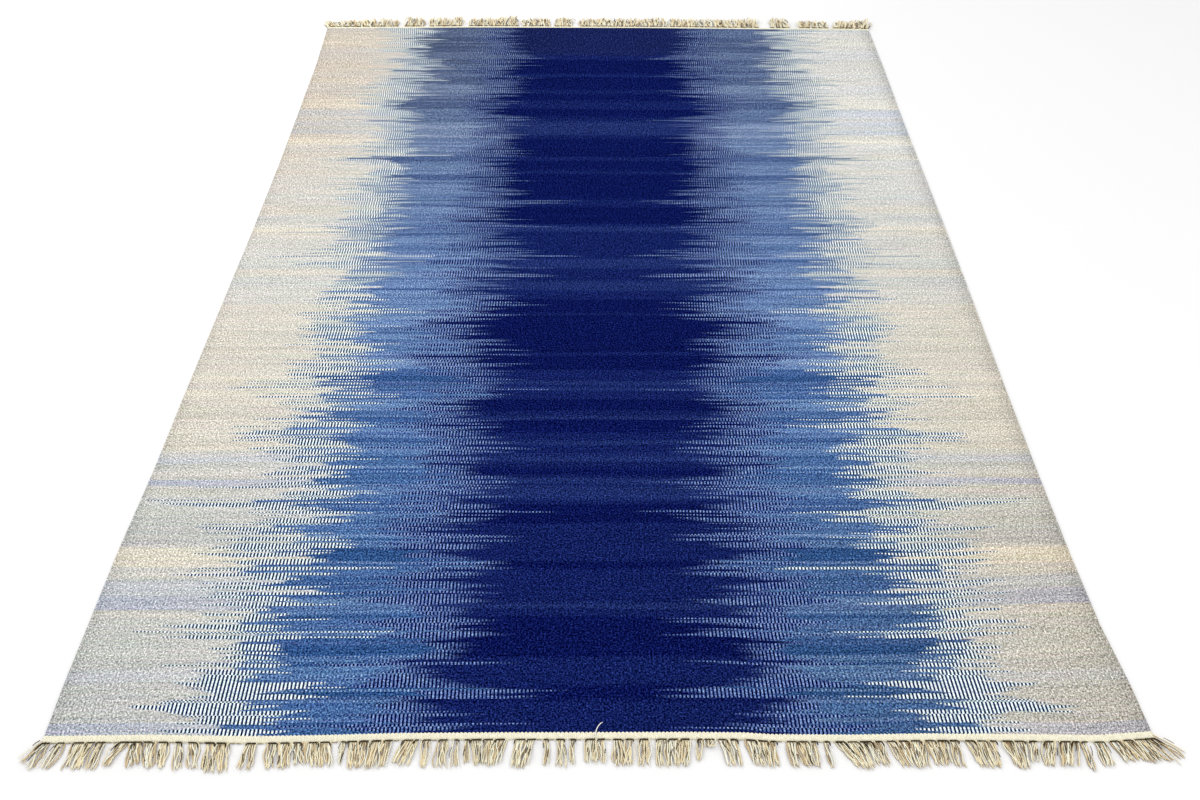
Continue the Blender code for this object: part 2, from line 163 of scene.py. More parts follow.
# The weaver's chart, from the front end to the back: where each passage starts along the cloth, how far it
# sits to the right, and four places from the middle outwards, all in millimetres. The ink comes out as far as
# ink_out and the blue comes in to blue_in, the blue goes out to blue_out and the ground in to ground_in.
PASSAGES = (
    # start, right, ink_out, blue_in, blue_out, ground_in, ground, blue, ink
    (-1192, 0, 355, 290, 595, 530, "lilac", "mid", "navy"),
    (-1187, 0, 440, 210, 695, 470, "lilac", "mid", "navy"),
    (-1170, -5, 355, 300, 645, 490, "grey", "light", "navy"),
    (-1163, 0, 425, 205, 675, 460, "grey", "mid", "navy"),
    (-1151, 5, 355, 285, 765, 510, "grey", "mid", "navy"),
    (-1131, 0, 315, 150, 690, 430, "grey", "deep", "dark"),
    (-1120, 10, 325, 110, 675, 490, "grey", "deep", "dark"),
    (-1111, 5, 420, 225, 705, 430, "grey", "light", "navy"),
    (-1100, -5, 365, 260, 655, 550, "cool", "light", "navy"),
    (-1092, -5, 375, 260, 635, 540, "cool", "light", "navy"),
    (-1083, -5, 335, 290, 690, 490, "grey", "light", "navy"),
    (-1070, 5, 435, 215, 635, 490, "grey", "light", "navy"),
    (-1059, 15, 315, 265, 650, 540, "white", "denim", "dark"),
    (-1048, 15, 305, 260, 640, 530, "white", "deep", "dark"),
    (-1036, 15, 310, 255, 630, 530, "white", "denim", "dark"),
    (-1021, -5, 375, 165, 715, 440, "white", "mid", "dark"),
    (-1003, 15, 335, 280, 650, 530, "white", "denim", "dark"),
    (-998, -5, 415, 175, 750, 460, "white", "mid", "dark"),
    (-981, 15, 305, 270, 620, 550, "bone", "deep", "navy"),
    (-975, 5, 325, 250, 705, 500, "bone", "mid", "navy"),
    (-965, 5, 325, 280, 625, 555, "lilac", "light", "soft"),
    (-955, 0, 425, 190, 710, 440, "lilac", "light", "navy"),
    (-942, 5, 380, 250, 665, 535, "lilac", "denim", "navy"),
    (-935, 15, 430, 230, 655, 495, "cool", "mid", "navy"),
    (-925, 15, 400, 230, 675, 485, "cool", "denim", "navy"),
    (-915, 5, 390, 270, 655, 525, "cool", "mid", "navy"),
    (-905, 5, 380, 260, 655, 515, "white", "mid", "navy"),
    (-897, -5, 370, 210, 695, 475, "bone", "mid", "navy"),
    (-883, 5, 340, 140, 715, 385, "bone", "denim", "dark"),
    (-873, 15, 350, 200, 685, 465, "butter", "denim", "dark"),
    (-864, 15, 320, 260, 645, 485, "butter", "deep", "navy"),
    (-858, 10, 360, 270, 720, 450, "butter", "deep", "navy"),
    (-838, 10, 390, 220, 695, 435, "bone", "light", "navy"),
    (-830, 0, 420, 260, 675, 425, "grey", "light", "navy"),
    (-822, 0, 380, 140, 730, 445, "grey", "light", "navy"),
    (-815, -10, 350, 170, 650, 425, "white", "light", "navy"),
    (-806, -20, 440, 200, 680, 485, "grey", "mid", "navy"),
    (-797, 0, 435, 240, 715, 510, "grey", "mid", "navy"),
    (-782, 10, 380, 240, 630, 485, "white", "mid", "dark"),
    (-777, -5, 400, 195, 645, 430, "white", "light", "dark"),
    (-757, -20, 400, 120, 640, 395, "white", "light", "dark"),
    (-748, 10, 350, 210, 660, 485, "white", "denim", "dark"),
    (-742, 10, 340, 220, 700, 525, "white", "denim", "dark"),
    (-736, 0, 380, 250, 815, 485, "white", "denim", "navy"),
    (-722, 10, 400, 180, 600, 455, "white", "light", "soft"),
    (-712, 0, 390, 200, 595, 435, "bone", "light", "soft"),
    (-694, 0, 400, 220, 665, 435, "bone", "light", "navy"),
    (-687, 0, 350, 170, 630, 505, "lilac", "mid", "soft"),
    (-672, 0, 340, 200, 605, 465, "bone", "mid", "navy"),
    (-662, 0, 350, 260, 650, 455, "bone", "denim", "dark"),
    (-650, 5, 360, 260, 640, 475, "white", "mid", "navy"),
    (-630, 0, 390, 215, 645, 465, "cool", "mid", "soft"),
    (-607, -10, 390, 170, 660, 435, "bone", "light", "navy"),
    (-597, 0, 420, 200, 660, 435, "cream", "light", "navy"),
    (-585, 0, 350, 170, 650, 485, "cream", "denim", "soft"),
    (-577, 0, 340, 250, 680, 525, "cream", "dusk", "navy"),
    (-568, 10, 370, 220, 740, 505, "cream", "mid", "navy"),
    (-560, 10, 380, 260, 760, 485, "cream", "mid", "navy"),
    (-552, -5, 400, 230, 670, 455, "cream", "light", "dark"),
    (-540, -15, 395, 205, 660, 425, "cream", "light", "dark"),
    (-530, -5, 425, 225, 650, 465, "cream", "denim", "dark"),
    (-518, -10, 355, 255, 680, 485, "cream", "denim", "soft"),
    (-507, 0, 325, 245, 650, 535, "cream", "mid", "navy"),
    (-500, 0, 355, 275, 620, 525, "cream", "denim", "navy"),
    (-492, 0, 430, 250, 660, 475, "cream", "light", "dark"),
    (-472, 0, 395, 275, 650, 465, "cream", "light", "dark"),
    (-464, 0, 355, 225, 680, 525, "cream", "denim", "navy"),
    (-455, 10, 345, 245, 720, 475, "butter", "mid", "navy"),
    (-445, 0, 335, 225, 605, 485, "butter", "denim", "navy"),
    (-435, 0, 335, 175, 640, 445, "cream", "denim", "soft"),
    (-427, 0, 355, 195, 735, 475, "cream", "deep", "navy"),
    (-418, 0, 335, 205, 690, 435, "cream", "denim", "soft"),
    (-408, 0, 315, 225, 690, 485, "butter", "deep", "navy"),
    (-400, 0, 315, 235, 620, 505, "butter", "deep", "navy"),
    (-392, 0, 365, 215, 705, 445, "cream", "denim", "navy"),
    (-373, 0, 355, 245, 650, 475, "cream", "light", "dark"),
    (-362, 0, 430, 235, 670, 440, "cream", "pale", "dark"),
    (-340, 0, 475, 245, 630, 505, "cream", "light", "dark"),
    (-328, 0, 445, 245, 610, 475, "cream", "pale", "navy"),
    (-318, 0, 430, 215, 635, 445, "cream", "light", "dark"),
    (-295, 0, 405, 225, 640, 415, "cream", "light", "dark"),
    (-285, 0, 375, 255, 670, 485, "cream", "mid", "dark"),
    (-275, 0, 415, 295, 670, 505, "cream", "light", "dark"),
    (-262, 0, 405, 265, 630, 505, "cream", "mid", "dark"),
    (-248, 0, 455, 285, 660, 495, "cream", "light", "dark"),
    (-236, 0, 425, 275, 680, 485, "cream", "light", "dark"),
    (-212, 0, 400, 235, 670, 515, "cream", "pale", "dark"),
    (-200, -10, 400, 165, 680, 475, "cream", "light", "navy"),
    (-188, -10, 370, 235, 630, 425, "cream", "pale", "dark"),
    (-178, -10, 340, 215, 630, 435, "cream", "light", "dark"),
    (-166, 0, 330, 215, 620, 485, "cream", "light", "dark"),
    (-156, 0, 330, 215, 660, 505, "bone", "light", "dark"),
    (-145, 0, 340, 195, 680, 465, "bone", "light", "navy"),
    (-134, 0, 360, 205, 640, 495, "bone", "light", "navy"),
    (-122, 0, 400, 265, 640, 515, "bone", "pale", "navy"),
    (-108, 0, 375, 255, 600, 515, "bone", "light", "soft"),
    (-96, 10, 405, 225, 660, 525, "white", "light", "soft"),
    (-84, 10, 385, 245, 640, 535, "white", "light", "soft"),
    (-72, 0, 365, 225, 610, 505, "white", "light", "navy"),
    (-60, -10, 365, 145, 630, 455, "bone", "pale", "navy"),
    (-48, 0, 365, 245, 610, 495, "cream", "light", "navy"),
    (-26, 0, 355, 195, 640, 465, "white", "light", "soft"),
    (-15, 0, 415, 255, 720, 505, "white", "mid", "soft"),
    (-5, 0, 435, 285, 640, 485, "white", "denim", "soft"),
    (5, 0, 365, 205, 660, 515, "bone", "light", "navy"),
    (16, 10, 385, 135, 730, 445, "bone", "light", "navy"),
    (28, 0, 395, 155, 680, 465, "bone", "light", "navy"),
    (40, -10, 430, 200, 680, 495, "bone", "mid", "navy"),
    (66, 0, 395, 205, 650, 465, "bone", "light", "navy"),
    (92, 0, 385, 225, 640, 505, "bone", "mid", "navy"),
    (102, 0, 355, 255, 650, 545, "cream", "denim", "navy"),
    (112, -10, 395, 245, 710, 485, "butter", "mid", "soft"),
    (124, 0, 455, 205, 710, 475, "butter", "mid", "soft"),
    (138, 10, 425, 215, 720, 475, "bone", "mid", "navy"),
    (150, 0, 405, 230, 660, 475, "bone", "light", "dark"),
    (162, 0, 405, 225, 660, 495, "white", "mid", "dark"),
    (178, 0, 400, 250, 650, 485, "bone", "light", "dark"),
    (198, 0, 395, 240, 640, 500, "cream", "light", "dark"),
    (218, 0, 400, 205, 640, 495, "bone", "denim", "navy"),
    (232, 0, 385, 145, 675, 475, "bone", "light", "navy"),
    (250, 0, 395, 245, 660, 480, "white", "mid", "dark"),
    (272, 0, 360, 215, 660, 475, "bone", "light", "dark"),
    (296, 0, 365, 240, 690, 475, "bone", "light", "dark"),
    (322, 0, 350, 255, 650, 495, "bone", "mid", "dark"),
    (342, 0, 345, 265, 670, 485, "bone", "denim", "dark"),
    (364, 0, 405, 230, 625, 500, "cream", "light", "navy"),
    (388, 0, 380, 260, 615, 495, "bone", "light", "dark"),
    (410, 0, 380, 250, 665, 520, "bone", "mid", "dark"),
    (430, 0, 400, 250, 705, 525, "cream", "denim", "navy"),
    (452, 0, 425, 235, 665, 455, "cream", "mid", "dark"),
    (474, 0, 385, 245, 650, 465, "bone", "light", "dark"),
    (494, 0, 370, 260, 660, 505, "bone", "mid", "dark"),
    (514, 0, 390, 255, 655, 490, "butter", "mid", "dark"),
    (538, 0, 375, 250, 645, 485, "cream", "pale", "navy"),
    (560, 0, 400, 255, 640, 490, "cool", "light", "soft"),
    (586, 0, 365, 240, 605, 505, "white", "pale", "soft"),
    (610, 0, 385, 225, 665, 515, "cool", "light", "soft"),
    (634, 0, 395, 190, 680, 475, "bone", "mid", "navy"),
    (660, 0, 395, 290, 675, 485, "cool", "mid", "dark"),
    (684, 0, 390, 290, 675, 515, "white", "light", "dark"),
    (702, 0, 385, 285, 680, 555, "butter", "denim", "navy"),
    (722, 0, 405, 275, 690, 545, "butter", "denim", "navy"),
    (744, 0, 430, 285, 685, 485, "cream", "denim", "dark"),
    (768, 0, 415, 260, 735, 465, "cream", "mid", "dark"),
    (788, 0, 400, 240, 665, 475, "bone", "light", "navy"),
    (812, 0, 385, 250, 675, 485, "bone", "light", "dark"),
    (836, 0, 370, 260, 690, 505, "cream", "denim", "dark"),
    (860, 0, 390, 270, 695, 465, "cream", "denim", "dark"),
    (882, 0, 390, 225, 655, 465, "bone", "mid", "navy"),
    (906, 0, 425, 250, 665, 485, "cream", "denim", "dark"),
    (924, 0, 390, 245, 640, 475, "cream", "mid", "dark"),
    (946, 0, 380, 215, 645, 445, "cream", "mid", "dark"),
    (966, 0, 440, 230, 700, 465, "cream", "denim", "dark"),
    (988, 0, 360, 180, 630, 500, "bone", "mid", "navy"),
    (1010, 0, 370, 230, 625, 525, "bone", "mid", "dusky"),
    (1032, 0, 380, 245, 705, 505, "bone", "denim", "dusky"),
    (1056, 0, 370, 240, 660, 485, "cream", "denim", "dusky"),
    (1080, 0, 385, 250, 695, 495, "butter", "denim", "dusky"),
    (1106, 0, 390, 260, 695, 485, "cream", "denim", "dusky"),
    (1130, 0, 385, 250, 665, 485, "cream", "mid", "dusky"),
    (1156, 0, 400, 240, 660, 460, "bone", "mid", "dusky"),
    (1176, 0, 390, 260, 680, 525, "white", "denim", "dusky"),
)

# How many picks high the rows of teeth and the plain rows between them are, and how far each kind strays, at
# the front and past it.
TEETH_HEIGHTS = ((1, 1, 1, 2, 2, 3, 4, 5, 6, 7), (1, 2, 2, 3, 4))
PLAIN_HEIGHTS = ((0, 1, 1, 2, 3), (1, 2, 2, 3))
TEETH_STRAY = (0.004, 0.012)
PLAIN_STRAY = (0.020, 0.032)
FRONT_ENDS = -0.95
# Where a row of teeth peaks, how far it reaches, and how much further a row of one or two picks may reach.
TEETH_PEAKS = (0.04, 0.3, 0.5, 0.7, 0.96)
TEETH_REACH = (0.3, 1.0)
LOW_TEETH = 2
LOW_TEETH_REACH = (0.8, 1.5)
TEETH_BLUNTNESS = (0.3, 1.1)
TEETH_SHOULDER = 0.35
# How much longer a passage's teeth are on one side, and the single picks that reach out past their row.
SIDE_STRETCH = (0.75, 1.1)
STRAGGLERS = 0.06
STRAGGLE = (0.2, 0.9)
PICK_SCATTER = 0.004
# How often the two shuttles change places at a plain row, and how many picks one yarn may lag.
SHUTTLE_SWAPS = 0.5
YARN_LAG = 4
# The length over which ink fades to blue: of the far shuttle, which grows from the middle of the cloth to
# FAR_FADE_BACK, and of the near one.
FAR_FADE = (0.022, 0.060)
FAR_FADE_BACK = 0.8
NEAR_FADE = 0.075
# How unevenly a yarn took its dye, from passage to passage and from pick to pick, and the odd picks of
# another blue.
TINT_SPREAD = 0.03
SHADE_SPREAD = 0.045
ODD_BLUES = ("deep", "denim", "dusk", "pale")
ODD_PICKS = 2
CLOTH_SEED = 11


def table_value(table, place, column):
    """The value of a column at a place, on straight lines between the table's rows."""
    place = min(max(place, table[0][0]), table[-1][0])
    for low, high in zip(table, table[1:]):
        if place <= high[0]:
            part = (place - low[0]) / (high[0] - low[0])
            return low[column] + part * (high[column] - low[column])
    return table[-1][column]


def soft_step(place, low, high):
    """Rises from 0 at low to 1 at high, level at both."""
    part = min(max((place - low) / (high - low), 0.0), 1.0)
    return part * part * (3.0 - 2.0 * part)


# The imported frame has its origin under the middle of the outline.
field_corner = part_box("rug_field")[0]
heading_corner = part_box("heading_front")[0]
most_left = RUG_WIDTH / 2 - min(row[1] for row in SIDE_EDGES)
most_front = WOVEN_LENGTH / 2 + max(row[1] for row in END_EDGES)
CLOTH_MIDDLE = (field_corner[0] + most_left, heading_corner[1] + most_front)


def on_floor(across, along):
    """Where a point of the cloth lies, in X and Y."""
    left = -RUG_WIDTH / 2 + table_value(SIDE_EDGES, along, 1)
    right = RUG_WIDTH / 2 - table_value(SIDE_EDGES, along, 2)
    x = (left + right) / 2 + across * (right - left) / RUG_WIDTH
    from_end = max(WOVEN_LENGTH / 2 - abs(along), 0.0)
    share = 1.0 - (from_end - END_BOW_FULL) / (END_BOW_REACH - END_BOW_FULL)
    share = min(max(share, 0.0), 1.0)
    bow = -table_value(END_EDGES, across, 1) if along < 0.0 else table_value(END_EDGES, across, 2)
    return x + CLOTH_MIDDLE[0], along + share * bow + CLOTH_MIDDLE[1]


def unevenness(across, along):
    """The height of the cloth's ridges and waves over its own thickness."""
    height = 0.0
    for waves_across, waves_along, phase, size in WAVES:
        turn = waves_across * across / RUG_WIDTH + waves_along * along / WOVEN_LENGTH
        height += size * math.sin(2 * math.pi * turn + phase)
    for middle_across, middle_along, length, turn, width, size in RIDGES:
        angle = math.radians(turn)
        right, up = across - middle_across, along - middle_along
        down_ridge = (right * math.cos(angle) + up * math.sin(angle)) / (length / 2)
        over_ridge = (up * math.cos(angle) - right * math.sin(angle)) / (width / 2)
        height += size * math.exp(-(down_ridge**2) - over_ridge**2)
    return height


def pick_rise(across, along):
    """How far a pick has strayed along the cloth at a place across it."""
    rise = 0.0
    for size, by_across, by_along in PICK_RIPPLES:
        rise += size * math.sin(by_across * across + by_along * along)
    for starts, ends, middle, length, height in ASKEW_PICKS:
        near = math.exp(-(((along - middle) / length) ** 2))
        spread = ends - starts
        rise += height * near * soft_step(across / spread, starts / spread, ends / spread)
    return rise * soft_step(FIELD_HALF - abs(along), 0.0, STRAIGHT_ENDS)


def daylight(colour, strength=1.0):
    """A dye's colour as the shader wants it."""
    parts = [value / 255.0 for value in colour]
    parts = [part / 12.92 if part <= 0.04045 else ((part + 0.055) / 1.055) ** 2.4 for part in parts]
    return [min(part * strength, 1.0) for part in parts]


def rows_of_teeth(picks, past_front, chance):
    """For each pick of a passage, how far it stands out as teeth, 0 between rows, and how far it strays."""
    rows = []
    while len(rows) < picks:
        left = picks - len(rows)
        height = chance.choice(TEETH_HEIGHTS[past_front])
        if picks >= 4 and not rows:
            height = max(height, picks // 2)
        height = min(height, max(TEETH_HEIGHTS[past_front]), left)
        plain = min(chance.choice(PLAIN_HEIGHTS[past_front]), left - height)
        peak = chance.choice(TEETH_PEAKS)
        reach = chance.uniform(*TEETH_REACH) if rows else 1.0
        if height <= LOW_TEETH:
            reach *= chance.uniform(*LOW_TEETH_REACH)
        bluntness = chance.uniform(*TEETH_BLUNTNESS)
        stray = chance.gauss(0.0, TEETH_STRAY[past_front])
        for pick in range(height):
            part = (pick + 0.5) / height
            slope = part / peak if part < peak else (1.0 - part) / (1.0 - peak)
            rows.append((reach * (TEETH_SHOULDER + (1.0 - TEETH_SHOULDER) * slope**bluntness), stray))
        rows += [(0.0, chance.gauss(0.0, PLAIN_STRAY[past_front]))] * plain
    return rows


def passage_starts():
    """The row of picks that each passage starts at."""
    return [round((row[0] / 1000 + FIELD_HALF) / (2 * FIELD_HALF) * PICK_PAIRS) for row in PASSAGES]


def lagging(starts, chance):
    """The same passages as another shuttle has them: its yarns run out a few picks sooner or later."""
    moved = [starts[0]]
    for before, start, after in zip(starts, starts[1:], starts[2:]):
        lag = chance.randint(-YARN_LAG, YARN_LAG)
        moved.append(min(max(start + lag, (before + start) // 2 + 1), (start + after) // 2))
    return moved + [starts[-1]]


def weave_plan():
    """For each pair of picks and each shuttle: its dyes, and on the left and the right where they change.

    Each side has the places where the ground and the blue begin, and the length over which ink fades to blue.
    """
    chance = random.Random(CLOTH_SEED)
    starts = [max(start, 0) for start in passage_starts()] + [PICK_PAIRS]
    plan = [[None, None] for _ in range(PICK_PAIRS)]
    reversed_order = False
    for row, first, following in zip(PASSAGES, starts, starts[1:]):
        right, ink_out, blue_in, blue_out, ground_in = [value / 1000 for value in row[1:6]]
        ink_middle, ground_middle = (ink_out + blue_in) / 2, (blue_out + ground_in) / 2
        reaches = (
            # middle, reach
            (ground_middle, blue_out - ground_middle),
            (ink_middle, ink_out - ink_middle),
            (ground_middle, ground_in - ground_middle),
            (ink_middle, blue_in - ink_middle),
        )
        past_front = row[0] / 1000 > FRONT_ENDS
        outer_rows, inner_rows = [rows_of_teeth(following - first, past_front, chance) for _ in range(2)]
        stretches = [[chance.uniform(*SIDE_STRETCH) for _ in reaches] for _ in range(2)]
        back_part = soft_step(row[0] / 1000, 0.0, FAR_FADE_BACK)
        far_fade = FAR_FADE[0] + (FAR_FADE[1] - FAR_FADE[0]) * back_part
        for pick in range(first, following):
            shares, strays = zip(outer_rows[pick - first], inner_rows[pick - first])
            if 0.0 in shares and chance.random() < SHUTTLE_SWAPS:
                reversed_order = not reversed_order
            far, near = [], []
            for side, stretch in zip((-1, 1), stretches):
                places = []
                for number, ((middle, reach), longer) in enumerate(zip(reaches, stretch)):
                    share = shares[number % 2] * longer
                    if share > 0.0 and chance.random() < STRAGGLERS:
                        share += chance.uniform(*STRAGGLE)
                    place = middle + reach * share + strays[number % 2] + side * right
                    places.append(place + chance.gauss(0.0, PICK_SCATTER))
                far.append((*places[:2], far_fade))
                near.append((*places[2:], NEAR_FADE))
            plan[pick] = [near, far] if reversed_order else [far, near]
    for shuttle in range(2):
        yarn_starts = lagging(starts, chance) if shuttle else starts
        for row, first, following in zip(PASSAGES, yarn_starts, yarn_starts[1:]):
            tint = 1.0 + chance.gauss(0.0, TINT_SPREAD)
            odd_blue = chance.choice(ODD_BLUES)
            odd_start = chance.randint(first, following)
            for pick in range(first, following):
                shade = tint + chance.gauss(0.0, SHADE_SPREAD)
                blue = odd_blue if odd_start <= pick < odd_start + ODD_PICKS else row[7]
                dyes = (GROUNDS[row[6]], BLUES[blue], INKS[row[8]])
                plan[pick][shuttle] = (plan[pick][shuttle], [daylight(dye, shade) for dye in dyes])
    return plan


# How much the dyes are tinted in red, green and blue by place, and how far out in a corner the tint is full.
FRONT_WARM_TINT = (0.03, 0.10, 0.19)
BACK_WARM_TINT = (0.10, 0.16, 0.21)
BACK_WHITENESS = (0.07, 0.11, 0.18)
FULL_CORNER = 0.55  # square metres between the corner's place and the cloth's middle lines


def painted_sheen_and_tint(dye, across, along):
    """A dye with a tint and a painted sheen put into it by place.

    The dye is tinted warmer to the front right and the back left and whiter to the back right, and the blues
    are painted lighter and greyer away from the front, as a sheen.
    """
    # Painted sheen on the blues: lighter and greyer away from the front.
    sheen_share = min(max(dye[2] - 0.11, 0.0) / 0.1, 1.0) * (1.0 - dye[0])
    grey = 0.2126 * dye[0] + 0.7152 * dye[1] + 0.0722 * dye[2]
    sheen_greying = 0.45 * soft_step(along, -0.9, 1.1) * sheen_share
    sheen_lift = 1.0 + (0.22 * min(max(along + 0.9, 0.0), 1.0) - 0.20 * soft_step(along, 0.4, 1.1)) * sheen_share
    # A warmer tint to the front right and the back left, and a whiter one to the back right.
    warm_share = min(max(-across * along / FULL_CORNER, 0.0), 1.0)
    if along < 0.0:
        warm_share *= soft_step(-along, 0.2, 1.1)
        tinge = [1.0 - lost * warm_share for lost in FRONT_WARM_TINT]
    elif across < 0.0:
        tinge = [1.0 - lost * warm_share for lost in BACK_WARM_TINT]
    else:
        white = min(across * along / FULL_CORNER, 1.0) * (1.0 if dye[0] > 0.3 else 0.3)
        tinge = [1.0 + gained * white for gained in BACK_WHITENESS]
    return (*((part + (grey - part) * sheen_greying) * sheen_lift * warm for part, warm in zip(dye, tinge)), 1.0)


def closed_sheet(columns, rows, length, begins, fill, wall_part):
    """A unit sheet with an underside and walls, and the set of its underside's points.

    Its weave map is as long as length and starts at begins. Its bake map takes up the two shares in fill, and
    its walls keep a strip of that map, down to wall_part of it.
    """
    mesh = bmesh.new()
    bmesh.ops.create_grid(mesh, x_segments=columns, y_segments=rows, size=0.5)
    underside = set(mesh.verts)
    bmesh.ops.extrude_face_region(mesh, geom=list(mesh.faces), use_keep_orig=True)
    bmesh.ops.recalc_face_normals(mesh, faces=list(mesh.faces))
    weave = mesh.loops.layers.uv.new("weave")
    bake = mesh.loops.layers.uv.new("OFBake")
    for face in mesh.faces:
        wall = len({point in underside for point in face.verts}) == 2
        for loop in face.loops:
            place = loop.vert.co
            loop[weave].uv = (place.x * RUG_WIDTH, (place.y - begins) * length)
            inset = wall_part if wall and loop.vert in underside else 1.0
            loop[bake].uv = (0.5 + place.x * fill[0] * inset, 0.5 + place.y * fill[1] * inset)
        face.smooth = not wall
    return mesh, underside


def cloth_field():
    """The cloth as one closed sheet, with a row of faces for each pair of picks."""
    plan = weave_plan()
    mesh, underside = closed_sheet(CLOTH_COLUMNS, PICK_PAIRS, 2 * FIELD_HALF, 0.0, (1.0, 1.0), 0.996)
    layers = []
    for shuttle in ("first", "second"):
        changes = mesh.faces.layers.float_vector.new(shuttle + "_changes")
        dyes = [mesh.faces.layers.float_color.new(shuttle + "_" + name) for name in ("ground", "blue", "ink")]
        layers.append((changes, dyes))
    for face in mesh.faces:
        middle = face.calc_center_median()
        row = min(max(int((middle.y + 0.5) * PICK_PAIRS), 0), PICK_PAIRS - 1)
        across, along = middle.x * RUG_WIDTH, middle.y * 2 * FIELD_HALF
        for (changes, dye_layers), (places, dyes) in zip(layers, plan[row]):
            face[changes] = Vector(places[0 if middle.x < 0.0 else 1])
            for layer, dye in zip(dye_layers, dyes):
                face[layer] = painted_sheen_and_tint(dye, across, along)
    for point in mesh.verts:
        across, along = point.co.x * RUG_WIDTH, point.co.y * 2 * FIELD_HALF
        height = 0.0 if point in underside else FIELD_THICKNESS + unevenness(across, along)
        x, y = on_floor(across, along + pick_rise(across, along))
        point.co = Vector((x, y, height))
    return mesh


def finished(name, mesh, material):
    """A piece at the origin from its finished mesh."""
    data = bpy.data.meshes.new(name)
    mesh.to_mesh(data)
    mesh.free()
    data.materials.append(material)
    piece = bpy.data.objects.new(name, data)
    bpy.context.scene.collection.objects.link(piece)
    return piece


def join_up(tree, node, inputs):
    """Sets a node's inputs, or joins them to other nodes' outputs."""
    for socket, value in inputs.items():
        if isinstance(value, bpy.types.NodeSocket):
            tree.links.new(value, node.inputs[socket])
        else:
            node.inputs[socket].default_value = value


def add_node(tree, kind, inputs=None, **settings):
    """A node with its settings made and its inputs set or joined up."""
    node = tree.nodes.new(kind)
    for name, value in settings.items():
        setattr(node, name, value)
    join_up(tree, node, inputs or {})
    return node


def reckon(tree, operation, *values):
    """A Math node's result."""
    return add_node(tree, "ShaderNodeMath", dict(enumerate(values)), operation=operation).outputs[0]


def ramp(tree, value, low, high):
    """0 below low and 1 above high, with a soft rise between; low may be the greater."""
    inputs = {"Value": value, "From Min": low, "From Max": high}
    return add_node(tree, "ShaderNodeMapRange", inputs, interpolation_type="SMOOTHSTEP").outputs["Result"]


def blended(tree, factor, first, second, blend="MIX"):
    """Two colours mixed."""
    inputs = {0: factor, 6: first, 7: second}
    return add_node(tree, "ShaderNodeMix", inputs, data_type="RGBA", blend_type=blend).outputs[2]


def new_group(name, inputs, outputs):
    """A shader node group with its named sockets, and its two ends."""
    group = bpy.data.node_groups.new(name, "ShaderNodeTree")
    for socket, kind, value in inputs:
        made = group.interface.new_socket(socket, in_out="INPUT", socket_type=kind)
        if value is not None:
            made.default_value = value
    for socket, kind in outputs:
        group.interface.new_socket(socket, in_out="OUTPUT", socket_type=kind)
    return group, group.nodes.new("NodeGroupInput"), group.nodes.new("NodeGroupOutput")


# How the yarns are spun, and how they lie in the weave.
EYE_GAMMA = 2.2
TUFT_SCALE = (250.0, 110.0, 1.0)  # per metre across the cloth and along it
STREAK_SCALE = (5.0, 170.0, 1.0)  # per metre along the yarn and across it
CLUMP_SCALE = 0.4  # of the flecks' own
CLUMP_STRENGTH = 0.9
TINGE = 0.3  # how much colour the streaks and flecks have of their own
FLOAT_ROUNDNESS = 0.6


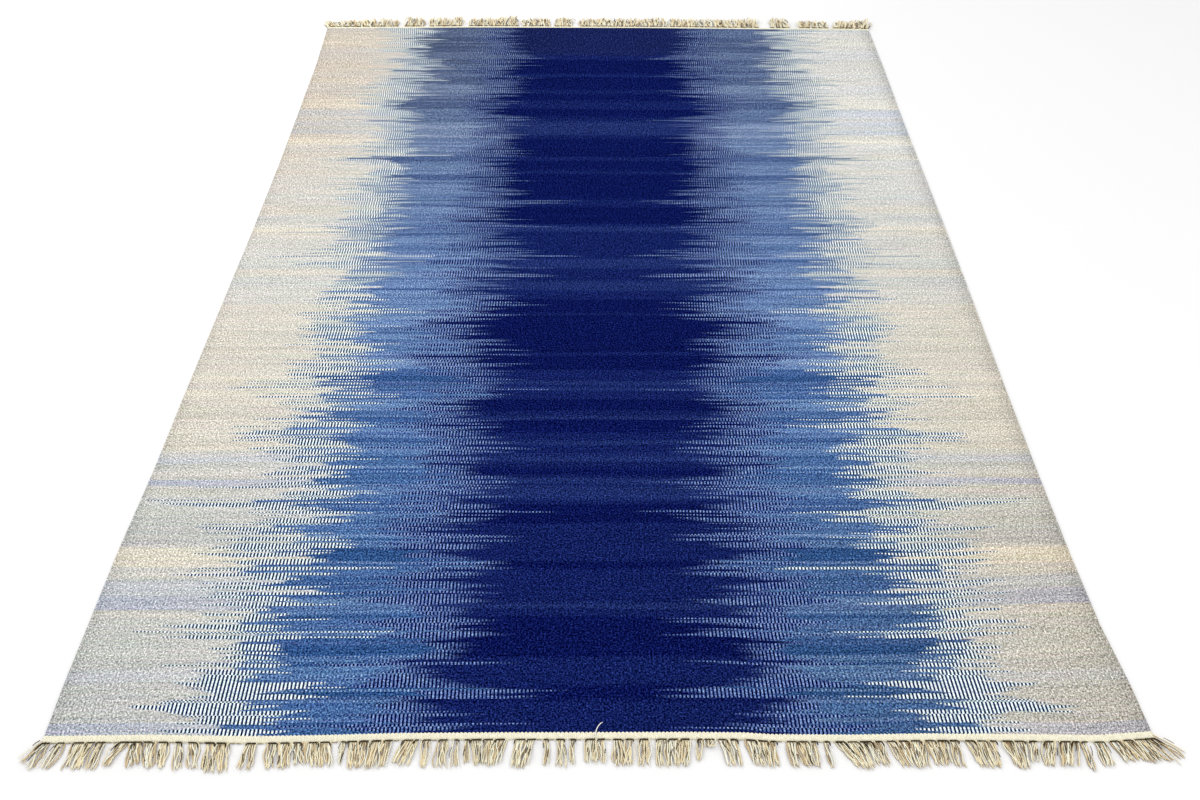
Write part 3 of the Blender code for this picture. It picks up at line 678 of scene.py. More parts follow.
def heathered_yarn():
    """Fibres of several shades spun together: streaks along the yarn, and flecks that show on any dye."""
    inputs = [
        ("Colour", "NodeSocketColor", (0.5, 0.5, 0.5, 1.0)),
        ("Place", "NodeSocketVector", None),
        ("Tone", "NodeSocketFloat", 0.0),
        ("Fleck size", "NodeSocketFloat", 0.0015),
        ("Flecks", "NodeSocketFloat", 0.15),
        ("Streaks", "NodeSocketFloat", 0.1),
    ]
    group, begin, end = new_group("Heathered yarn", inputs, [("Colour", "NodeSocketColor")])

    def noise(place, scale, detail=0.0):
        inputs = {"Vector": place, "Scale": scale, "Detail": detail}
        return add_node(group, "ShaderNodeTexNoise", inputs, noise_dimensions="2D").outputs

    def vector(operation, first, second):
        inputs = {0: first, ("Scale" if operation == "SCALE" else 1): second}
        return add_node(group, "ShaderNodeVectorMath", inputs, operation=operation).outputs[0]

    place = begin.outputs["Place"]
    long_way = add_node(group, "ShaderNodeMapping", {"Vector": place, "Scale": STREAK_SCALE}).outputs[0]
    streaks = vector("SUBTRACT", noise(long_way, 1.0, 3.0)["Color"], (0.5, 0.5, 0.5))
    evenly = add_node(group, "ShaderNodeSeparateXYZ", {0: streaks}).outputs[0]
    streaks = blended(group, TINGE, evenly, streaks)
    streaks = vector("ADD", vector("SCALE", streaks, begin.outputs["Streaks"]), (1.0, 1.0, 1.0))
    streaked = vector("MULTIPLY", begin.outputs["Colour"], streaks)

    fine = reckon(group, "DIVIDE", 1.0, begin.outputs["Fleck size"])
    flecks = noise(place, fine)
    clumps = noise(place, reckon(group, "MULTIPLY", fine, CLUMP_SCALE))["Fac"]
    flecks_tinged = vector("SUBTRACT", blended(group, TINGE, flecks["Fac"], flecks["Color"]), (0.5, 0.5, 0.5))
    clumps = reckon(group, "SUBTRACT", clumps, 0.5)
    flecks_tinged = vector("ADD", flecks_tinged, reckon(group, "MULTIPLY", clumps, CLUMP_STRENGTH))
    flecks_tinged = vector("SCALE", flecks_tinged, begin.outputs["Flecks"])
    flecks_tinged = vector("ADD", flecks_tinged, begin.outputs["Tone"])

    eye = add_node(group, "ShaderNodeGamma", {"Color": streaked, "Gamma": 1.0 / EYE_GAMMA}).outputs[0]
    on_dark = vector("ADD", vector("SCALE", eye, 1.5), (0.24, 0.24, 0.24))
    on_pale = vector("ADD", vector("SCALE", eye, -0.6), (1.25, 1.25, 1.25))
    strength = vector("MINIMUM", on_dark, on_pale)
    flecked = vector("ADD", eye, vector("MULTIPLY", flecks_tinged, strength))
    flecked = vector("MAXIMUM", flecked, (0.005, 0.005, 0.005))
    back = add_node(group, "ShaderNodeGamma", {"Color": flecked, "Gamma": EYE_GAMMA}).outputs[0]
    group.links.new(back, end.inputs["Colour"])
    return group


def plain_weave():
    """Weft floats over the warps: which warp a place is on, which float, and how high it stands."""
    number = "NodeSocketFloat"
    starts = {"Across": 0.0, "Along": 0.0, "Warp pitch": 0.003, "Pick pitch": 0.0024}
    inputs = [(name, number, value) for name, value in starts.items()]
    outputs = [(name, number) for name in ("Height", "Even warp", "Float shade")]
    group, begin, end = new_group("Plain weave", inputs, outputs)

    def hump(turns):
        """A rounded hump for each half turn."""
        wave = reckon(group, "SINE", reckon(group, "MULTIPLY", turns, math.pi))
        return reckon(group, "POWER", reckon(group, "ABSOLUTE", wave), FLOAT_ROUNDNESS)

    warp = reckon(group, "DIVIDE", begin.outputs["Across"], begin.outputs["Warp pitch"])
    column = reckon(group, "FLOOR", warp)
    even = reckon(group, "FLOORED_MODULO", column, 2.0)
    pick = reckon(group, "DIVIDE", begin.outputs["Along"], begin.outputs["Pick pitch"])
    pick = reckon(group, "ADD", pick, reckon(group, "MULTIPLY", even, 0.5))
    height = reckon(group, "MULTIPLY", hump(warp), hump(pick))
    cell = add_node(group, "ShaderNodeCombineXYZ", {0: column, 1: reckon(group, "FLOOR", pick)}).outputs[0]
    shade = add_node(group, "ShaderNodeTexWhiteNoise", {"Vector": cell}, noise_dimensions="2D")
    join_up(group, end, {"Height": height, "Even warp": even, "Float shade": shade.outputs["Value"]})
    return group


YARN_GROUP = heathered_yarn()
WEAVE_GROUP = plain_weave()


def new_material(name, roughness, specular):
    """A matt fibre material, its tree and its shader."""
    material = bpy.data.materials.new(name)
    material.use_nodes = True
    tree = material.node_tree
    shader = tree.nodes["Principled BSDF"]
    shader.inputs["Roughness"].default_value = roughness
    shader.inputs["Specular IOR Level"].default_value = specular
    return material, tree, shader


def weave_at(tree, weave_map, pick_pitch):
    """The plain weave on a piece's weave map, and how far a place of it lies across and along."""
    place = add_node(tree, "ShaderNodeSeparateXYZ", {0: weave_map})
    weave = add_node(tree, "ShaderNodeGroup", node_tree=WEAVE_GROUP)
    join_up(tree, weave, {"Across": place.outputs[0], "Along": place.outputs[1]})
    join_up(tree, weave, {"Warp pitch": WARP_PITCH, "Pick pitch": pick_pitch})
    return weave, place.outputs[0], place.outputs[1]


def float_tone(tree, weave, spread):
    """How much lighter or darker than its yarn a float is."""
    around_none = reckon(tree, "SUBTRACT", weave.outputs["Float shade"], 0.5)
    return reckon(tree, "MULTIPLY", around_none, spread)


def scaled(tree, colour, shade):
    """A colour made lighter or darker."""
    inputs = {0: colour, "Scale": shade}
    return add_node(tree, "ShaderNodeVectorMath", inputs, operation="SCALE").outputs[0]


def spin(tree, shader, colour, place, fleck_size, flecks, streaks, tone=0.0):
    """Gives the shader the colour of a heathered yarn."""
    yarn = add_node(tree, "ShaderNodeGroup", node_tree=YARN_GROUP)
    join_up(tree, yarn, {"Colour": colour, "Place": place, "Tone": tone})
    join_up(tree, yarn, {"Fleck size": fleck_size, "Flecks": flecks, "Streaks": streaks})
    tree.links.new(yarn.outputs[0], shader.inputs["Base Color"])


def emboss(tree, shader, height, strength, distance):
    """Gives the shader a height to catch the light by."""
    inputs = {"Strength": strength, "Distance": distance, "Height": height}
    bump = add_node(tree, "ShaderNodeBump", inputs)
    tree.links.new(bump.outputs[0], shader.inputs["Normal"])


def wool_weft():
    """The dyed wool, each float coloured by the yarn that shows there."""
    material, tree, shader = new_material("wool weft", 0.95, 0.0)
    weave_map = add_node(tree, "ShaderNodeUVMap", uv_map="weave").outputs[0]
    weave, across, along = weave_at(tree, weave_map, 2 * FIELD_HALF / PICK_PAIRS)
    even = weave.outputs["Even warp"]

    def woven(name, output, swapped=False):
        """What the shuttle that shows at a warp carries, or with swapped, what the other carries."""
        first = add_node(tree, "ShaderNodeAttribute", attribute_name="first_" + name).outputs[output]
        second = add_node(tree, "ShaderNodeAttribute", attribute_name="second_" + name).outputs[output]
        return blended(tree, even, second, first) if swapped else blended(tree, even, first, second)

    shown = add_node(tree, "ShaderNodeSeparateXYZ", {0: woven("changes", "Vector")})
    other = add_node(tree, "ShaderNodeSeparateXYZ", {0: woven("changes", "Vector", swapped=True)})
    distance = reckon(tree, "ABSOLUTE", across)
    ground, blue, ink = [woven(name, "Color") for name in ("ground", "blue", "ink")]

    def share_past(yarn, part, before, after):
        """How far a yarn has turned from one dye to the next."""
        return ramp(tree, reckon(tree, "SUBTRACT", distance, yarn.outputs[part]), before, after)

    def both(first, second):
        return reckon(tree, "MULTIPLY", first, second)

    def rest(share):
        return reckon(tree, "SUBTRACT", 1.0, share)

    def blue_part(yarn):
        """How far a yarn has turned from ink to blue, over its own length of fade."""
        past = reckon(tree, "SUBTRACT", distance, yarn.outputs[1])
        return ramp(tree, reckon(tree, "DIVIDE", past, yarn.outputs[2]), -0.65, 0.35)

    ground_share, other_ground = [share_past(yarn, 0, -0.010, 0.008) for yarn in (shown, other)]
    blue_share, other_blue = [blue_part(yarn) for yarn in (shown, other)]
    paler = reckon(tree, "MULTIPLY", share_past(shown, 0, 0.22, 0.02), 0.3)
    ground = blended(tree, paler, ground, (0.68, 0.68, 0.64, 1.0))
    colour = blended(tree, ground_share, blended(tree, blue_share, ink, blue), ground)
    blue_strength = reckon(tree, "MULTIPLY_ADD", ramp(tree, along, -1.0, 1.1), -0.28, 0.76)
    teeth = (
        # share, tone, strength
        (both(rest(ground_share), other_ground), (0.004, 0.010, 0.060, 1.0), 0.94),
        (both(ground_share, rest(other_ground)), (0.82, 0.96, 1.00, 1.0), 0.90),
        (both(rest(blue_share), other_blue), (0.0, 0.003, 0.048, 1.0), 0.97),
        (both(blue_share, rest(other_blue)), (0.17, 0.26, 0.57, 1.0), blue_strength),
    )
    for share, tone, strength in teeth:
        colour = blended(tree, both(share, strength), colour, tone)

    # Painted shade: the hollows between the floats are darkened and their tops kept light.
    painted_hollow_shade = ramp(tree, weave.outputs["Height"], 0.0, 0.7)
    shade = reckon(tree, "MULTIPLY_ADD", painted_hollow_shade, 0.24, 0.82)
    tufts = add_node(tree, "ShaderNodeMapping", {"Vector": weave_map, "Scale": TUFT_SCALE}).outputs[0]
    tufts = add_node(tree, "ShaderNodeTexNoise", {"Vector": tufts, "Scale": 1.0}, noise_dimensions="2D")
    tufts = reckon(tree, "SUBTRACT", tufts.outputs["Fac"], 0.5)
    tufts = reckon(tree, "MULTIPLY", tufts, reckon(tree, "MULTIPLY", ramp(tree, along, -0.6, 0.9), 0.55))
    tone = reckon(tree, "ADD", float_tone(tree, weave, 0.14), tufts)
    shaded = scaled(tree, colour, shade)
    spin(tree, shader, shaded, weave_map, fleck_size=0.0012, flecks=0.72, streaks=0.5, tone=tone)
    emboss(tree, shader, weave.outputs["Height"], strength=0.7, distance=0.0006)
    return material


wool_field = finished("wool_field", cloth_field(), wool_weft())
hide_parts("rug_field")
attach(wool_field, "root")

# ---- Selvedges -------------------------------------------------------------------------------------------
# The two sides, where the weft turns round a pair of doubled warps and makes a rope of short, tight wraps. It
# is the field's own yarn, so it takes the dyes of the ground beside it. The right side has a second, slim
# rope.

SELVEDGE_RADIUS = 0.0021
SELVEDGE_INSET = 0.0012
SELVEDGE_SIDES = 8
SLIM_RADIUS = 0.0011
SLIM_INSET = 0.0060
WRAP_HOLLOW = 0.84  # the radius between two wraps, as a share of the radius on one
WRAP_SHADES = (0.78, 1.04, 0.90, 1.0, 0.70)


def wrapped_tube(mesh, path, radius_at, sides, steps):
    """A tube round a path, made from a grid whose columns run round it and whose rows follow the path.

    path and radius_at take the part of the way along. Returns the tube's faces, and for each of its points
    the parts of the way round and along.
    """
    points = bmesh.ops.create_grid(mesh, x_segments=sides, y_segments=steps, size=0.5)["verts"]
    places = {}
    for point in points:
        around, along = point.co.x + 0.5, point.co.y + 0.5
        places[point] = (around, along)
        ahead = path(min(along + 0.01, 1.0)) - path(max(along - 0.01, 0.0))
        sideways = Vector((-ahead.y, ahead.x, 0.0)).normalized()
        upward = ahead.cross(sideways).normalized()
        turn = 2.0 * math.pi * around
        offset = sideways * math.cos(turn) + upward * math.sin(turn)
        point.co = path(along) + offset * radius_at(along)
    return list(dict.fromkeys(face for point in points for face in point.link_faces)), places


def selvedge(side, inset, radius, seed):
    """One wrapped rope along a side of the field."""
    chance = random.Random(seed)
    mesh = bmesh.new()
    wrap_layer = mesh.loops.layers.uv.new("wrap")
    bake = mesh.loops.layers.uv.new("OFBake")
    dye_layer = mesh.faces.layers.float_color.new("dye")
    half = FIELD_HALF - 0.0005

    def path(part):
        x, y = on_floor(side * (RUG_WIDTH / 2 - inset), (2.0 * part - 1.0) * half)
        return Vector((x, y, radius + 0.0002))

    def radius_at(part):
        return radius * (1.0 if round(part * PICK_PAIRS) % 2 else WRAP_HOLLOW)

    faces, places = wrapped_tube(mesh, path, radius_at, SELVEDGE_SIDES, PICK_PAIRS)
    row_dyes = [GROUNDS[name] for name in ground_of_rows()]
    shades = [chance.choice(WRAP_SHADES) * chance.uniform(0.9, 1.05) for _ in range(PICK_PAIRS)]
    for face in faces:
        along = sum(places[point][1] for point in face.verts) / len(face.verts)
        row = min(int(along * PICK_PAIRS), PICK_PAIRS - 1)
        dye = daylight(row_dyes[row], shades[row])
        face[dye_layer] = painted_sheen_and_tint(dye, side * RUG_WIDTH / 2, (2.0 * along - 1.0) * half)
        for loop in face.loops:
            around, part = places[loop.vert]
            loop[wrap_layer].uv = (around * 2.0 * math.pi * radius, part * 2.0 * half)
            loop[bake].uv = (0.02 + 0.96 * around, 0.001 + 0.998 * part)
        face.smooth = True
    return mesh


def ground_of_rows():
    """The name of the ground dye of each row of picks."""
    names = []
    for row, following in zip(PASSAGES, passage_starts()[1:] + [PICK_PAIRS]):
        names += [row[6]] * (following - len(names))
    return names


def rope_wool():
    """The same wool, wrapped round the side warps."""
    material, tree, shader = new_material("rope wool", 0.95, 0.0)
    dye = add_node(tree, "ShaderNodeAttribute", attribute_name="dye").outputs["Color"]
    wrap_map = add_node(tree, "ShaderNodeUVMap", uv_map="wrap").outputs[0]
    spin(tree, shader, dye, wrap_map, fleck_size=0.0012, flecks=0.7, streaks=0.2)
    return material


ROPE_WOOL = rope_wool()
for name, side, inset, radius in (
    ("selvedge_left", -1, SELVEDGE_INSET, SELVEDGE_RADIUS),
    ("selvedge_right", 1, SELVEDGE_INSET, SELVEDGE_RADIUS),
    ("selvedge_slim", 1, SLIM_INSET, SLIM_RADIUS),
):
    rope = finished(name, selvedge(side, inset, radius, len(name)), ROPE_WOOL)
    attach(rope, "root")

# ---- Cotton headings -------------------------------------------------------------------------------------
# The band of undyed cotton weft that ends the weave and holds the wool in. Its first picks ride up over the
# wool's last ones in small scallops, one over every other warp, and its outer edge is bound round each group
# of warps before they lie free.

HEADING_PICK = 0.0022
HALF_GROUPS = 192
HALF_GROUP = RUG_WIDTH / HALF_GROUPS
SCALLOP = 0.0021
SCALLOPED_PART = 0.3
BINDING_BULGE = 0.0008
BINDING_RISE = 0.0002

# The heading's section, from its inner edge over the wool to its outer edge.
HEADING_SECTION = (
    # part of the depth, height
    (0.00, 0.00410),
    (0.10, 0.00480),
    (0.28, 0.00440),
    (0.55, 0.00370),
    (0.80, 0.00345),
    (0.93, 0.00290),
    (1.00, 0.00150),
)


def cotton_heading(end):
    """One heading as a closed band, its columns half a warp apart."""
    columns = 2 * round(RUG_WIDTH / WARP_PITCH)
    rows = len(HEADING_SECTION) - 1
    mesh, underside = closed_sheet(columns, rows, HEADING_DEPTH, -0.5, (0.998, 0.96), 0.99)
    for point in mesh.verts:
        across = point.co.x * RUG_WIDTH
        part, height = HEADING_SECTION[round((point.co.y + 0.5) * rows)]
        scallop = SCALLOP * abs(math.sin(math.pi * across / (2.0 * WARP_PITCH)))
        scallop *= max(1.0 - part / SCALLOPED_PART, 0.0)
        group = abs(math.cos(math.pi * (across + RUG_WIDTH / 2) / (2.0 * HALF_GROUP)))
        bulge = BINDING_BULGE * group**6 * max(part - 0.8, 0.0) / 0.2
        depth = HEADING_DEPTH * (1.0 - part) + scallop - bulge
        x, y = on_floor(across, end * (WOVEN_LENGTH / 2 - depth))
        lift = unevenness(across, end * WOVEN_LENGTH / 2)
        point.co = Vector((x, y, 0.0 if point in underside else height + lift + BINDING_RISE * group**6))
    if end < 0:
        bmesh.ops.reverse_faces(mesh, faces=list(mesh.faces))
    return mesh


def cotton_weft():
    """Undyed cotton, creamy and close beaten, with painted shade in the hollows between its floats."""
    material, tree, shader = new_material("cotton weft", 0.9, 0.1)
    weave_map = add_node(tree, "ShaderNodeUVMap", uv_map="weave").outputs[0]
    weave = weave_at(tree, weave_map, HEADING_PICK)[0]
    # Painted shade: brown in the hollows between the floats, cream on their tops.
    painted_hollow_shade = ramp(tree, weave.outputs["Height"], 0.0, 0.6)
    colour = blended(tree, painted_hollow_shade, (0.78, 0.69, 0.47, 1.0), (0.94, 0.91, 0.73, 1.0))
    tone = float_tone(tree, weave, 0.05)
    spin(tree, shader, colour, weave_map, fleck_size=0.0011, flecks=0.2, streaks=0.1, tone=tone)
    emboss(tree, shader, weave.outputs["Height"], strength=0.6, distance=0.0006)
    return material


COTTON_WEFT = cotton_weft()
for name, end in (("heading_front", -1), ("heading_back", 1)):
    heading = finished("cotton_" + name, cotton_heading(end), COTTON_WEFT)
    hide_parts(name)
    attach(heading, "root")

# ---- Fringes ---------------------------------------------------------------------------------------------
# The cut ends of the warps: two-ply cotton strands that come out from under the heading, lie in loose bunches
# and fan out at the corners. Along their roots, the shadow under a twining thread is painted: dark arcs where
# a bunch lifts it, and faint brown lines between the bunches.

STRAND_SIDES = 5
STRAND_STEPS = 9
STRAND_ATLAS = 36
STRAND_LENGTH = 0.045
PLY_TWIST = 0.0045
TWINING_PITCH = 2.1

# The bunches that the warp ends lie in. Places are counted in half groups of warps from the left, and lengths
# are in millimetres.
FRONT_BUNCHES = (
    # root from, root to, tip from, tip to, length, rise
    (0.0, 0.7, -3.4, -1.2, 46, 1),
    (0.7, 1.3, -1.0, 0.6, 44, 1),
    (2.6, 3.8, 1.5, 2.5, 43, 1),
    (5.4, 9.0, 5.0, 8.4, 44, 1),
    (9.3, 10.8, 8.8, 10.2, 45, 1),
    (13.2, 14.7, 11.4, 12.7, 43, 2),
    (14.7, 15.8, 15.5, 16.6, 43, 2),
    (15.8, 17.0, 16.8, 18.0, 38, 3),
    (17.4, 19.6, 18.6, 20.0, 45, 1),
    (19.9, 21.5, 20.6, 21.9, 43, 1),
    (22.8, 23.8, 23.7, 24.7, 49, 1),
    (25.0, 26.5, 26.2, 27.6, 45, 1),
    (27.8, 32.0, 28.3, 32.8, 49, 1),
    (35.0, 36.8, 34.4, 37.2, 43, 2),
    (38.7, 43.0, 38.8, 43.4, 42, 1),
    (43.0, 45.6, 43.6, 46.4, 38, 2),
    (45.6, 49.5, 46.9, 50.2, 41, 1),
    (51.2, 52.0, 51.3, 52.1, 38, 1),
    (52.3, 60.0, 52.9, 59.0, 45, 1),
    (61.8, 64.5, 60.3, 63.3, 44, 1),
    (65.2, 66.6, 65.2, 66.4, 46, 1),
    (68.0, 69.5, 67.7, 69.7, 46, 1),
    (70.6, 71.4, 70.3, 72.0, 48, 1),
    (72.4, 73.2, 72.6, 73.4, 40, 1),
    (73.5, 80.0, 74.3, 78.6, 43, 1),
    (81.1, 84.7, 80.5, 83.5, 47, 1),
    (86.0, 86.8, 85.9, 87.2, 46, 1),
    (88.2, 89.6, 88.0, 90.2, 47, 1),
    (90.6, 91.5, 90.6, 91.7, 42, 1),
    (93.3, 96.6, 93.1, 96.6, 40, 2),
    (98.0, 101.5, 98.3, 101.3, 44, 1),
    (102.6, 104.6, 102.3, 104.4, 44, 1),
    (105.5, 111.7, 105.9, 110.8, 45, 1),
    (112.6, 113.4, 112.1, 112.9, 38, 1),
    (113.7, 115.7, 113.8, 115.2, 15, 3),
    (116.2, 119.4, 117.5, 119.9, 44, 1),
    (121.0, 126.2, 121.8, 126.7, 43, 1),
    (128.0, 133.2, 128.6, 133.5, 43, 2),
    (134.5, 135.3, 135.1, 135.9, 43, 1),
    (136.4, 141.2, 139.6, 142.4, 48, 1),
    (141.2, 144.4, 142.9, 145.2, 42, 1),
    (145.3, 152.0, 147.5, 151.8, 45, 1),
    (152.0, 155.9, 153.0, 155.8, 41, 1),
    (156.2, 157.7, 156.5, 158.0, 44, 1),
    (158.9, 164.2, 160.4, 164.3, 45, 1),
    (165.3, 169.6, 166.7, 168.8, 46, 1),
    (169.9, 171.2, 169.6, 170.8, 37, 2),
    (172.6, 175.0, 171.7, 173.3, 43, 1),
    (175.3, 178.5, 174.2, 177.1, 43, 2),
    (179.0, 180.0, 179.1, 179.9, 48, 1),
    (181.2, 183.4, 181.6, 183.6, 40, 1),
    (184.0, 186.4, 185.2, 187.6, 37, 1),
    (186.4, 188.4, 188.2, 190.2, 39, 1),
    (188.4, 190.2, 190.4, 192.4, 42, 1),
    (190.2, 191.2, 192.7, 194.4, 45, 1),
    (191.2, 192.0, 194.8, 197.0, 54, 1),
)
BACK_BUNCHES = (
    # root from, root to, tip from, tip to, length, rise
    (0.0, 1.0, -1.7, -0.8, 50, 8),
    (1.0, 6.0, -0.6, 4.5, 42, 3),
    (6.0, 13.0, 4.7, 11.5, 47, 6),
    (13.0, 19.0, 11.7, 18.0, 50, 7),
    (19.0, 22.4, 18.2, 21.4, 54, 9),
    (23.2, 24.8, 23.0, 24.3, 48, 5),
    (27.0, 31.0, 28.0, 30.9, 58, 12),
    (31.0, 33.6, 31.1, 33.6, 54, 9),
    (36.0, 41.0, 35.5, 41.0, 52, 9),
    (41.0, 43.6, 41.2, 43.5, 51, 8),
    (43.6, 47.6, 44.4, 46.9, 56, 11),
    (50.0, 53.0, 50.2, 53.2, 51, 8),
    (53.0, 56.4, 53.4, 56.2, 52, 9),
    (56.8, 60.0, 56.4, 59.9, 51, 8),
    (60.0, 64.0, 60.1, 64.3, 59, 12),
    (64.0, 67.6, 64.5, 67.0, 60, 12),
    (69.0, 72.2, 69.0, 71.9, 49, 6),
    (72.6, 79.0, 72.8, 78.3, 51, 8),
    (80.4, 87.0, 80.6, 86.6, 52, 9),
    (89.5, 95.0, 89.8, 95.2, 51, 8),
    (95.0, 101.0, 95.4, 101.2, 51, 8),
    (101.0, 107.0, 101.4, 107.0, 50, 8),
    (107.0, 112.0, 107.2, 111.6, 50, 8),
    (112.0, 115.0, 112.2, 114.8, 52, 9),
    (115.0, 120.0, 115.4, 119.9, 56, 12),
    (121.4, 126.0, 121.8, 126.2, 51, 8),
    (126.0, 133.0, 126.5, 132.4, 51, 8),
    (133.0, 140.0, 132.6, 139.4, 50, 8),
    (140.0, 147.0, 139.6, 146.2, 51, 8),
    (147.0, 153.4, 146.6, 152.7, 56, 11),
    (157.0, 164.0, 157.8, 162.6, 56, 11),
    (167.4, 172.0, 168.8, 172.3, 47, 5),
    (172.0, 178.0, 172.6, 176.8, 47, 5),
    (179.6, 185.0, 180.8, 186.2, 49, 6),
    (185.0, 190.8, 186.4, 191.3, 53, 9),
    (190.8, 192.0, 191.9, 193.6, 58, 12),
)

# A bunch is a bed of strands painted in shade with strands painted lit over it, and short dark strands laid
# on top as painted shadow where they part.
SHADED_TONES = ((0.92, 0.80, 0.53), (0.95, 0.87, 0.62), (0.84, 0.69, 0.43), (0.68, 0.53, 0.31))
LIT_TONES = ((1.00, 0.98, 0.78), (1.00, 0.93, 0.69), (0.96, 0.86, 0.61), (1.00, 1.00, 0.86))
SHADOW_STRAND_TONES = ((0.07, 0.05, 0.02), (0.18, 0.12, 0.06), (0.05, 0.03, 0.01), (0.32, 0.21, 0.11))
BUNCH_LAYERS = (
    # strands per half group, least and most radius, height over the floor, tones
    (3.7, 0.0010, 0.0013, 0.0000, SHADED_TONES),
    (2.2, 0.0007, 0.0011, 0.0015, LIT_TONES),
    (1.2, 0.0005, 0.0008, 0.0036, SHADOW_STRAND_TONES),
)
# Painted shadow under the twining thread: dark arcs over the bunches, faint brown lines between them.
TWINE_SHADOW_TONE = (0.05, 0.035, 0.018)
TWINE_FAINT_SHADOW_TONE = (0.40, 0.32, 0.19)

# How the two ends' strands lie. The back fringe lies looser and higher than the front one.
FRINGE_ENDS = (
    # name, end, bunches, strands that cling together, sway, lift, seed
    ("fringe_front", -1, FRONT_BUNCHES, 1.0, 0.0022, 0.0016, 21),
    ("fringe_back", 1, BACK_BUNCHES, 1.5, 0.0050, 0.0030, 22),
)


def strand_path(root, tip, sways, lift, rise, low=0.0, high=1.0):
    """The way a strand lies: out from its root, swaying to the sides, over its neighbours and down or up.

    low and high keep only that stretch of the strand.
    """
    along = tip - root
    sideways = Vector((-along.y, along.x, 0.0)).normalized()

    def path(part):
        part = low + (high - low) * part
        offset = sum(sway * math.sin(math.pi * (turns + 1) * part) for turns, sway in enumerate(sways))
        height = lift * math.sin(math.pi * part**0.8) + rise * part**1.5
        return root.lerp(tip, part) + sideways * offset + Vector((0.0, 0.0, height))

    return path


def add_strand(mesh, path, radius, tone, cell):
    """One strand, tapered at its cut end, with its own square of the bake map."""
    def radius_at(part):
        return radius * (1.0 - 0.1 * part - 0.55 * max(part - 0.9, 0.0) / 0.1)

    strand_map = mesh.loops.layers.uv["strand"]
    bake = mesh.loops.layers.uv["OFBake"]
    tone_layer = mesh.faces.layers.float_color["tone"]
    faces, places = wrapped_tube(mesh, path, radius_at, STRAND_SIDES, STRAND_STEPS)
    column, row = cell % STRAND_ATLAS, cell // STRAND_ATLAS
    for face in faces:
        face[tone_layer] = (*tone, 1.0)
        face.smooth = True
        for loop in face.loops:
            around, along = places[loop.vert]
            loop[strand_map].uv = (around, along * STRAND_LENGTH)
            square = (column + 0.06 + 0.88 * around, row + 0.06 + 0.88 * along)
            loop[bake].uv = (square[0] / STRAND_ATLAS, square[1] / STRAND_ATLAS)


def strand_mesh():
    """A mesh with the maps and tones that strands need, and no strands yet."""
    mesh = bmesh.new()
    mesh.loops.layers.uv.new("strand")
    mesh.loops.layers.uv.new("OFBake")
    mesh.faces.layers.float_color.new("tone")
    return mesh


def heading_edge(half_group, end, out):
    """A place at the heading's outer edge, counted in half groups from the left."""
    return on_floor(half_group * HALF_GROUP - RUG_WIDTH / 2, end * (WOVEN_LENGTH / 2 + out))


def bunch_strands(end, bunch, clinging, sway, lift, chance):
    """The path, radius and tone of each strand of a bunch."""
    root_from, root_to, tip_from, tip_to, bunch_length, rise = bunch
    strands = []
    for density, least, most, height, tones in BUNCH_LAYERS:
        count = max(2, round((root_to - root_from) * density / clinging))
        for number in range(count):
            part = (number + 0.5 + chance.gauss(0.0, 0.2)) / count
            landed = min(max(part + chance.gauss(0.0, 0.07), -0.06), 1.06)
            root_place = root_from + part * (root_to - root_from)
            tip_place = tip_from + landed * (tip_to - tip_from)
            from_side = max(min(root_place, HALF_GROUPS - root_place), 0.0)
            x, y = heading_edge(root_place, end, -0.001 - 0.007 * max(1.0 - from_side / 0.7, 0.0))
            lean = (tip_place - root_place) * HALF_GROUP
            length = bunch_length / 1000 * chance.uniform(0.88, 1.05)
            reach = math.sqrt(max(length**2 - lean**2, (0.4 * length) ** 2))
            radius = chance.uniform(least, most) * clinging
            root = Vector((x, y, radius + 0.4 * height))
            tip = Vector((x + lean + chance.gauss(0.0, 0.0010), y + end * reach, radius + 0.6 * height))
            sways = [chance.gauss(0.0, sway), chance.gauss(0.0, sway * 0.5), chance.gauss(0.0, sway * 0.25)]
            tip_rise = rise / 1000 * chance.uniform(0.1, 1.0)
            low, high = 0.0, 1.0
            # Painted shadow: short dark strands lie on top where the gaps between strands fall in shade.
            if tones is SHADOW_STRAND_TONES:
                low = chance.uniform(0.02, 0.6)
                high = low + chance.uniform(0.15, 0.4)
            most_lift = height + lift * chance.uniform(0.0, 1.0)
            path = strand_path(root, tip, sways, most_lift, tip_rise, low, high)
            strands.append((path, radius, chance.choice(tones)))
    return strands


def twining_shadow_arcs(end, bunch, chance):
    """Dark arcs painted as the shadow under the twining thread at a bunch's roots, each hooked along the
    lean.
    """
    root_from, root_to, tip_from, tip_to = bunch[:4]
    lean = (tip_from + tip_to - root_from - root_to) / 2
    arcs = []
    place = root_from + 0.1
    while place < root_to - 0.4:
        far = min(place + chance.uniform(1.4, 1.8), root_to + 0.1)
        start, finish = (place, far) if lean > 0.0 else (far, place)
        corner = Vector((*heading_edge(finish, end, 0.0018), 0.0044))
        begin = Vector((*heading_edge(start, end, 0.0018), 0.0042))
        hook_length = 0.004 + 0.004 * min(abs(lean), 3.0)
        hook = Vector((lean * HALF_GROUP, end * 0.03, -0.002)).normalized() * hook_length
        arcs.append((arc_path(begin, corner, hook), chance.uniform(0.0010, 0.0014), TWINE_SHADOW_TONE))
        place += TWINING_PITCH
    return arcs


def arc_path(begin, corner, hook):
    """Straight from begin to corner, and then bending away along hook."""
    def path(part):
        bend = max(part - 0.7, 0.0) / 0.3
        return begin.lerp(corner, min(part / 0.75, 1.0)) + hook * bend**1.3

    return path


